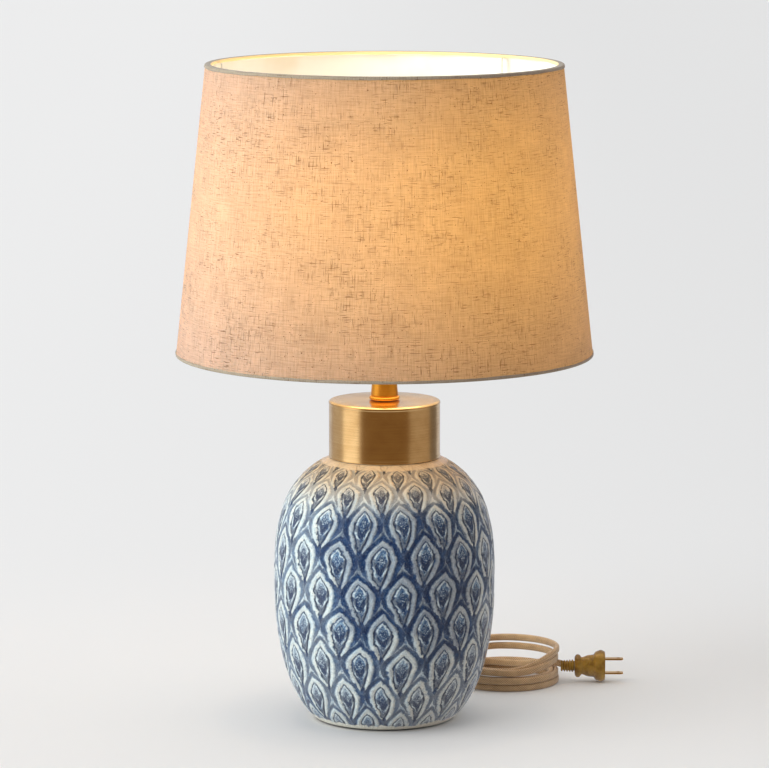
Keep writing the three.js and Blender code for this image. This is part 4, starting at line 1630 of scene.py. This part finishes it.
@dataclass(frozen=True)
class Harp:
    """The wire harp: saddle under the socket, bow, two lifting sleeves and the threaded stud."""

    wire: float = 1.9
    leg: float = 27.0
    widest: float = 54.0
    top: float = 522.0

    def bow(self) -> None:
        """Straight legs, two curves out and in, and a flat top, flattened where the stud sits."""
        low, _ = box("harp_bow")
        foot, knee, bulge = float(low[2]), 374.0, 440.0
        right = np.concatenate([
            np.linspace((self.leg, 0, foot), (self.leg, 0, knee), 12)[:-1],
            bezier(
                (self.leg, 0, knee), (self.leg, 0, 396), (self.widest, 0, 405), (self.widest, 0, bulge)
            )[:-1],
            bezier((self.widest, 0, bulge), (self.widest, 0, 490), (38, 0, self.top), (12, 0, self.top))[:-1],
        ])
        left = right[::-1] * np.array([-1.0, 1.0, 1.0])
        bar = np.linspace((12, 0, self.top), (-12, 0, self.top), 13)
        path = np.concatenate([right, bar, left])
        add_piece(
            "harp_wire", [carried(path, circle(self.wire, 24), (0.0, 1.0, 0.0))],
            PARTS_BRASS, "harp", ["harp_bow"],
        )

    def saddle(self) -> None:
        """A bent strap with a tongue at each end."""
        low, high = box("harp_saddle")
        bottom = float(low[2])
        path = spline([
            (-27.0, 0, 334.0), (-27.0, 0, 331.6), (-25.6, 0, 329.6), (-14.0, 0, bottom + 1.4),
            (-9.0, 0, bottom + 1.0), (0.0, 0, bottom + 1.0), (9.0, 0, bottom + 1.0),
            (14.0, 0, bottom + 1.4), (25.6, 0, 329.6), (27.0, 0, 331.6), (27.0, 0, 334.0),
        ], 1.0)
        strap = rounded([
            (-6.0, -0.9, 0.4), (6.0, -0.9, 0.4), (6.0, 0.9, 0.4), (-6.0, 0.9, 0.4),
        ], loop=True, steps=2)
        nets = [carried(path, strap[:, ::-1], (0.0, 1.0, 0.0))]
        tip = float(high[2])
        tongue = rounded([
            (0, 332.8, 0), (2.2, 332.8, 0.3), (2.2, tip - 0.6, 0.6), (1.4, tip, 0.3), (0, tip, 0),
        ])
        for side in (-1.0, 1.0):
            stub = turned(tongue, 24)
            nets.append(Net(stub.points + np.array([side * self.leg, 0.0, 0.0]), False, True, stub.uv))
        add_piece("harp_strap", nets, PARTS_BRASS, "base", ["harp_saddle"])

    def sleeves(self) -> None:
        """Two sleeves, each rolled at its lips."""
        for side, sign in (("left", -1.0), ("right", 1.0)):
            low, high = box(f"harp_sleeve_{side}")
            bottom, top = float(low[2]), float(high[2])
            outline = rounded([
                (2.9, bottom, 0.3), (4.3, bottom, 0.5), (4.3, bottom + 1.4, 0.4), (4.05, bottom + 2.0, 0.4),
                (4.05, top - 2.0, 0.4), (4.3, top - 1.4, 0.4), (4.3, top, 0.5), (2.9, top, 0.3),
            ], loop=True, steps=3)
            tube = turned(outline, 32, True)
            net = Net(tube.points + np.array([sign * self.leg, 0.0, 0.0]), True, True, tube.uv)
            add_piece(
                f"lifting_sleeve_{side}", [net],
                PARTS_BRASS, f"sleeve_{side}", [f"harp_sleeve_{side}"],
            )

    def stud(self) -> None:
        """The stud the shade sits on: a collar, and a thread cut above it."""
        low, high = box("harp_stud")
        seat, tip = float(low[2]), float(high[2])
        collar = 526.4
        corners = [(0, seat, 0), (6.2, seat, 0.4), (6.2, collar, 0.4), (3.05, collar, 0.2)]
        for start in np.arange(collar + 2.8, tip - 1.4, 0.95):
            corners += [(2.72, float(start), 0.12), (3.05, float(start) + 0.47, 0.12)]
        corners += [(2.5, tip - 0.4, 0.3), (1.8, tip, 0.2), (0, tip, 0)]
        post = turned(rounded(corners, steps=2), 32)
        add_piece("shade_stud", [post], PARTS_BRASS, "stud", ["harp_stud"])

    def build(self) -> None:
        """All the harp's parts."""
        self.saddle()
        self.bow()
        self.sleeves()
        self.stud()


# ------------------------------------------------------------------ socket and bulb


@dataclass(frozen=True)
class Socket:
    """The brass-shell socket with its turn switch."""

    radius: float = 16.6
    switch_height: float = 343.5
    thread_pitch: float = 3.6

    def shell(self) -> None:
        """The shell with beads pressed round it, and the bell-shaped cap under it."""
        low, high = box("socket_shell")
        bottom, top = float(low[2]), float(high[2])
        corners = [(self.radius - 0.6, bottom, 0.1), (self.radius, bottom, 0.2)]
        for bead in (bottom + 2.4, top - 7.4, top - 3.6):
            corners += [(self.radius, bead, 0.4), (self.radius - 0.45, bead + 0.7, 0.4)]
            corners += [(self.radius, bead + 1.4, 0.4)]
        corners += [(self.radius, top, 0.25), (self.radius - 0.6, top, 0.2)]
        add_piece(
            "socket_barrel", [turned(rounded(corners, loop=True, steps=3), 96, True)],
            PARTS_BRASS, "base", ["socket_shell"],
        )
        low, high = box("socket_cap")
        seat, lip = float(low[2]), float(high[2])
        bell = rounded([
            (5.8, seat, 0.2), (8.0, seat, 0.8), (12.0, seat + 1.4, 2.0), (15.5, seat + 4.2, 2.0),
            (17.1, lip - 5.0, 1.6), (17.1, lip, 0.3), (16.45, lip, 0.2), (16.4, lip - 4.6, 1.2),
            (14.9, seat + 5.2, 1.6), (11.5, seat + 2.6, 1.6),
            (8.0, seat + 1.7, 0.5), (8.0, 331.0, 0.3), (5.8, 331.0, 0.3),
        ], loop=True)
        cup = turned(bell, 96, True)
        add_piece("socket_bell", [cup], PARTS_BRASS, "base", ["socket_cap"])

    def screw_thread(self) -> None:
        """The threaded aluminium cup: a round thread, waved along its height."""
        low, high = box("screw_shell")
        bottom, top = float(low[2]), float(high[2])
        height = np.linspace(bottom, top, 56)
        wave = 0.22 * np.sin((height - bottom) * (FULL_TURN / self.thread_pitch))
        outer = np.stack([14.05 + wave, height], axis=-1)
        inner = np.stack([13.55 + wave, height], axis=-1)[::-1]
        add_piece(
            "socket_thread", [turned(np.concatenate([outer, inner]), 64, True)],
            ALUMINIUM, "base", ["screw_shell"],
        )

    def knob(self) -> None:
        """The switch's turn key: a barrel fluted all round with a domed end."""
        low, high = box("switch_knob")
        length = float(high[1] - low[1])
        outline = rounded([
            (0, 0, 0), (4.6, 0, 0.6), (5.5, 1.4, 0.8), (5.5, length - 1.8, 1.2), (4.2, length - 0.1, 1.2),
            (0, length, 0),
        ])
        sides, flutes = 72, 18
        flute = 0.22 * np.cos(FULL_TURN * flutes * np.arange(sides) / sides)
        grip = band(2.0, length - 2.6, 0.7, outline[:, 1])[:, None] * (flute - 0.15)[None, :]
        seat = (0.0, float(high[1]), self.switch_height)
        net = laid(turned(outline, sides, False, grip), seat, (0.0, -1.0, 0.0))
        add_piece("switch_key", [net], PHENOLIC, "switch", ["switch_knob"])
        low, high = box("switch_shaft")
        reach = float(high[1] - low[1])
        rod = rounded([(0, 0, 0), (1.9, 0, 0.2), (1.9, reach, 0.2), (0, reach, 0)])
        seat = (0.0, float(high[1]), self.switch_height)
        net = laid(turned(rod, 24), seat, (0.0, -1.0, 0.0))
        add_piece("switch_stem", [net], PARTS_BRASS, "switch", ["switch_shaft"])

    def build(self) -> None:
        """The shown parts, and finishes on the parts inside."""
        self.shell()
        self.screw_thread()
        self.knob()
        dress(FIBRE, "socket_liner")
        dress(PHENOLIC, "socket_core")
        dress(PARTS_BRASS, "terminal_screw_live", "terminal_screw_neutral", "centre_contact")


@dataclass(frozen=True)
class Bulb:
    """A round frosted bulb, lit, with its threaded base."""

    centre: float = 435.6
    radius: float = 30.0
    light: float = 1.3
    downward: float = 0.33
    inner: float = 0.34
    through: float = 0.375
    spread: float = 0.035
    forward: float = 0.026
    warm: Colour = (1.0, 0.66, 0.34)
    pale: Colour = (1.0, 0.80, 0.52)
    plain: Colour = (1.0, 1.0, 1.0)
    softness: float = 0.026
    disk: float = 0.20
    disk_height: float = 0.395
    thread_pitch: float = 3.6

    def glass(self) -> None:
        """A ball that runs into a waisted neck, open at the bottom where the base grips it."""
        low, _ = box("bulb_glass")
        base = float(low[2])
        angle = np.radians(np.linspace(-44.0, 90.0, 40))
        ball = np.stack([self.radius * np.cos(angle), self.centre + self.radius * np.sin(angle)], axis=-1)
        ball[-1, 0] = 0.0
        neck = bezier((13.0, base), (13.2, base + 12.0), (15.4, base + 24.0), tuple(ball[0]), steps=14)[:-1]
        outside = np.concatenate([neck, ball])
        inside = outside - np.array([0.9, 0.0])
        inside[:, 1] = self.centre + (inside[:, 1] - self.centre) * 0.975
        inside = np.maximum(inside[::-1], 0.0)
        glass = add_piece(
            "bulb_envelope", [turned(np.concatenate([inside, outside]), 72)],
            FROSTED, "bulb", ["bulb_glass"], 60.0,
        )
        glass.visible_shadow = False

    def base(self) -> None:
        """The base: a rolled thread, a shoulder and a dark end."""
        low, high = box("bulb_base")
        bottom, top = float(low[2]), float(high[2])
        height = np.linspace(bottom + 5.0, top - 3.0, 60)
        wave = 0.36 * np.sin((height - bottom) * (FULL_TURN / self.thread_pitch))
        thread = np.stack([12.72 + wave, height], axis=-1)
        outline = np.concatenate([
            rounded([(0, bottom, 0), (8.0, bottom, 0.6), (11.6, bottom + 3.6, 1.0), (12.5, bottom + 5.0, 0)]),
            thread, rounded([(12.9, top - 2.6, 0), (13.0, top - 1.0, 0.5), (12.5, top, 0.4), (0, top, 0)]),
        ])
        add_piece("bulb_cap", [turned(outline, 64)], ALUMINIUM, "bulb", ["bulb_base"])
        dress(ALUMINIUM, "bulb_contact")

    def shine(self, name: str, power: float, colour: Colour) -> bpy.types.Object:
        """A round light at the bulb's middle.

        Args:
            name: the light's name.
            power: its power in watts.
            colour: its colour.

        Returns:
            The light's object, which the camera does not see.
        """
        light = bpy.data.lights.new(name, "POINT")
        light.energy = power
        light.shadow_soft_size = self.softness
        light.color = colour
        lamp = bpy.data.objects.new(name, light)
        lamp.location = (0.0, 0.0, self.centre * MM)
        lamp.visible_camera = False
        bpy.context.scene.collection.objects.link(lamp)
        return lamp

    def lights(self) -> None:
        """The bulb's light in shares: on the lamp, down off the lining, on the lining, and through it.

        The last falls on the cloth alone and the lining does not block it, because it stands for
        light that has come through the lining.
        """
        shared = self.shine("bulb_light", self.light, self.warm)
        shared.light_linking.receiver_collection = all_but("not_lining", "lining", "floor")
        thrown = bpy.data.lights.new("lit_lining", "AREA")
        thrown.shape = "DISK"
        thrown.size = self.disk
        thrown.energy = self.downward
        thrown.color = self.warm
        below = bpy.data.objects.new("lit_lining", thrown)
        below.location = (0.0, 0.0, self.disk_height)
        below.visible_camera = False
        bpy.context.scene.collection.objects.link(below)
        lit = ("ceramic_body", "spun_cap", "neck", "neck_bead")
        below.light_linking.receiver_collection = only("under_shade", *lit)
        below.light_linking.blocker_collection = only("cap_blocks", "spun_cap", "floor")
        inner = self.shine("lining_light", self.inner, self.pale)
        inside = ("lining", "top_hem", "bottom_hem", "top_ring_wire", "bottom_ring_wire")
        inner.light_linking.receiver_collection = only("just_lining", *inside)
        inner.visible_glossy = False
        for side in (-1.0, 1.0):
            cloth = self.shine("cloth_light", self.through, self.plain)
            cloth.location[2] += side * self.spread
            cloth.location[1] -= self.forward
            cloth.light_linking.receiver_collection = only("just_cloth", "linen_cover", "linen_lap")
            cloth.light_linking.blocker_collection = only("just_floor", "floor")
            cloth.visible_glossy = False

    def build(self) -> None:
        """The bulb's parts."""
        self.glass()
        self.base()


# ------------------------------------------------------------------ shade


@dataclass(frozen=True)
class Shade:
    """The tapered drum shade: linen on a white lining, hemmed over two ring wires, on a spider."""

    bottom: float = 314.6
    top: float = 561.7
    bottom_radius: float = 177.8
    top_radius: float = 151.5
    sides: int = 288
    hem: float = 2.9
    hem_depth: float = 6.0
    hem_cloth: float = 0.7
    wire: float = 1.5
    lap: float = 11.0
    arms: tuple[float, ...] = (45.0, 165.0, 285.0)

    def radius(self, height: np.ndarray | float) -> np.ndarray | float:
        """The outer face's radius, a straight taper."""
        share = (height - self.bottom) / (self.top - self.bottom)
        return self.bottom_radius + (self.top_radius - self.bottom_radius) * share

    def skin(self, outer: float, inner: float, rows: int) -> Net:
        """A conical skin between two depths under the outer face, in metres of cloth.

        Args:
            outer: the depth of its outside.
            inner: the depth of its inside.
            rows: how many points go up each side.

        Returns:
            The skin.
        """
        inset = 0.9
        up = np.linspace(self.bottom + inset, self.top - inset, rows)
        outside = np.stack([self.radius(up) - outer, up], axis=-1)
        inside = np.stack([self.radius(up) - inner, up], axis=-1)[::-1]
        net = turned(np.concatenate([outside, inside]), self.sides, True)
        along = np.concatenate([outside[:, 1], inside[:, 1], outside[:1, 1]]) * MM
        net.uv = np.stack(np.broadcast_arrays(net.uv[:1, :, 0], along[:, None]), axis=-1)
        return net

    def cover(self) -> None:
        """The linen, stretched round the lining as a conical skin.
        """
        skin = self.skin(0.75, 1.5, 64)
        made = add_piece("linen_cover", [skin], LINEN, "shade", ["shade_cover"], 60.0)

    def seam(self) -> None:
        """The lap at the back: a folded strip of the same linen over the joint."""
        up = np.linspace(self.bottom + 1.2, self.top - 1.2, 70)
        path = np.stack([np.zeros_like(up), self.radius(up) - 0.62, up], axis=-1)
        half = self.lap / 2.0
        across = np.linspace(-half, half, 15)
        thick = 0.42 * (1.0 - (np.abs(across) / half) ** 6)
        curve = -(across**2) / (2.0 * 164.0)
        round_it = np.concatenate([across, across[::-1]])
        out = np.concatenate([curve + thick, curve[::-1] - 0.25])
        net = carried(path, np.stack([round_it, out], axis=-1), (0.0, 1.0, 0.0))
        net.uv = net.uv + np.array([0.3, 0.0])
        add_piece("linen_lap", [net], LAP, "shade", crease=70.0)

    def binding(self, edge: float, inward: float, name: str, node: str) -> None:
        """Linen folded over a rim; its raw edges wander a little.

        The section runs down the outside, over the rim and up the inside, and back a cloth's
        thickness in. The free edges' heights wander by three slow waves round the shade.

        Args:
            edge: the rim's height.
            inward: 1 where the cloth goes up from the rim, -1 where it goes down.
            name: the piece's name.
            node: the CAD node that it replaces.
        """
        far = edge + inward * self.hem
        fold = edge + inward * self.hem_cloth
        deep, cloth = self.hem_depth, self.hem_cloth
        corners = [
            (self.radius(far), far, 0.3), (self.radius(edge) - 0.1, edge + inward * 0.2, 1.3),
            (self.radius(edge) - deep + 0.1, edge + inward * 0.2, 1.3), (self.radius(far) - deep, far, 0.3),
            (self.radius(far) - deep + cloth, far, 0.3), (self.radius(fold) - deep + cloth, fold, 0.5),
            (self.radius(fold) - cloth, fold, 0.5), (self.radius(far) - cloth, far, 0.3),
        ]
        outline = rounded(corners, loop=True, steps=4)
        net = turned(outline, self.sides, True)
        turn = FULL_TURN * np.arange(self.sides) / self.sides
        sway = 0.16 * np.sin(7.0 * turn) + 0.12 * np.sin(17.0 * turn + 1.0) + 0.08 * np.sin(31.0 * turn)
        reach = np.clip((outline[:, 1] - edge) * inward / self.hem, 0.0, 1.0)
        net.points[..., 2] += inward * reach[:, None] ** 2 * sway
        add_piece(name, [net], HEM, "shade", [node], 60.0)

    def spider(self) -> None:
        """The fitter: a washer at the middle and three coated wires out to the rim."""
        low, high = box("fitter_hub")
        radius, under, over = float(high[0]), float(low[2]), float(high[2])
        washer = rounded([
            (5.5, under, 0.4), (radius, under, 0.6), (radius, over, 0.6), (5.5, over, 0.4),
        ], loop=True, steps=4)
        add_piece("spider_hub", [turned(washer, 64, True)], WHITE_WIRE, "shade", ["fitter_hub"])
        clear = 1.3
        reach = self.radius(self.top) - self.hem_depth - self.wire - clear
        lift, bend = under + 1.0, 534.0
        side = np.concatenate([
            np.linspace((radius - 1.2, 0, lift), (reach - 9.0, 0, bend - 0.5), 40)[:-1],
            bezier(
                (reach - 9.0, 0, bend - 0.5), (reach - 3.0, 0, bend - 0.2), (reach, 0, bend + 3.0),
                (reach, 0, bend + 9.0), steps=10,
            )[:-1],
            np.linspace((reach, 0, bend + 9.0), (reach, 0, self.top - 3.0), 12),
        ])
        for number, azimuth in enumerate(self.arms, start=1):
            way = math.radians(azimuth)
            out = np.array([math.sin(way), math.cos(way), 0.0])
            path = side[:, :1] * out + side[:, 2:] * UP
            level = np.cross(out, UP)
            add_piece(
                f"spider_wire_{number}", [carried(path, circle(self.wire, 16), level)],
                WHITE_WIRE, "shade", [f"fitter_arm_{number}"],
            )

    def build(self) -> None:
        """All the shade's pieces."""
        self.cover()
        self.seam()
        add_piece("lining", [self.skin(1.8, 2.4, 24)], LINING, "shade", ["shade_liner"], 60.0)
        self.binding(self.top, -1.0, "top_hem", "top_binding")
        self.binding(self.bottom, 1.0, "bottom_hem", "bottom_binding")
        self.spider()
        dress(WHITE_WIRE, "top_ring_wire", "bottom_ring_wire")


@dataclass(frozen=True)
class Finial:
    """The brass finial that screws down on the shade: a foot, a waist and a ball."""

    bore: float = 3.35
    bore_end: float = 541.6
    foot: float = 8.2
    waist: float = 5.2
    ball: float = 9.0

    def build(self) -> None:
        """One turned outline with a blind bore."""
        low, high = box("finial")
        seat, crown = float(low[2]), float(high[2])
        outline = rounded([
            (0, self.bore_end, 0), (self.bore, self.bore_end, 0.3), (self.bore, seat, 0.2),
            (self.foot, seat, 0.5), (self.foot, seat + 1.6, 0.6), (self.waist, seat + 3.0, 1.2),
            (self.waist, seat + 4.4, 1.0), (self.ball - 0.6, seat + 7.0, 2.4), (self.ball, seat + 10.2, 3.0),
            (self.ball - 1.2, seat + 14.0, 3.0), (4.6, crown, 3.0), (0, crown, 0),
        ])
        add_piece("finial_knob", [turned(outline, 64)], PARTS_BRASS, "finial", ["finial"])


def main() -> None:
    """Builds the studio, then the lamp from its flex up."""
    logging.basicConfig(level=logging.INFO, format="%(name)s: %(message)s")
    studio = Studio()
    studio.build()
    Flex().build()
    CeramicBody().build()
    BrassStack().build()
    Harp().build()
    Socket().build()
    bulb = Bulb()
    bulb.build()
    Shade().build()
    Finial().build()
    bulb.lights()
    studio.side_window()


if __name__ == "__main__":
    main()
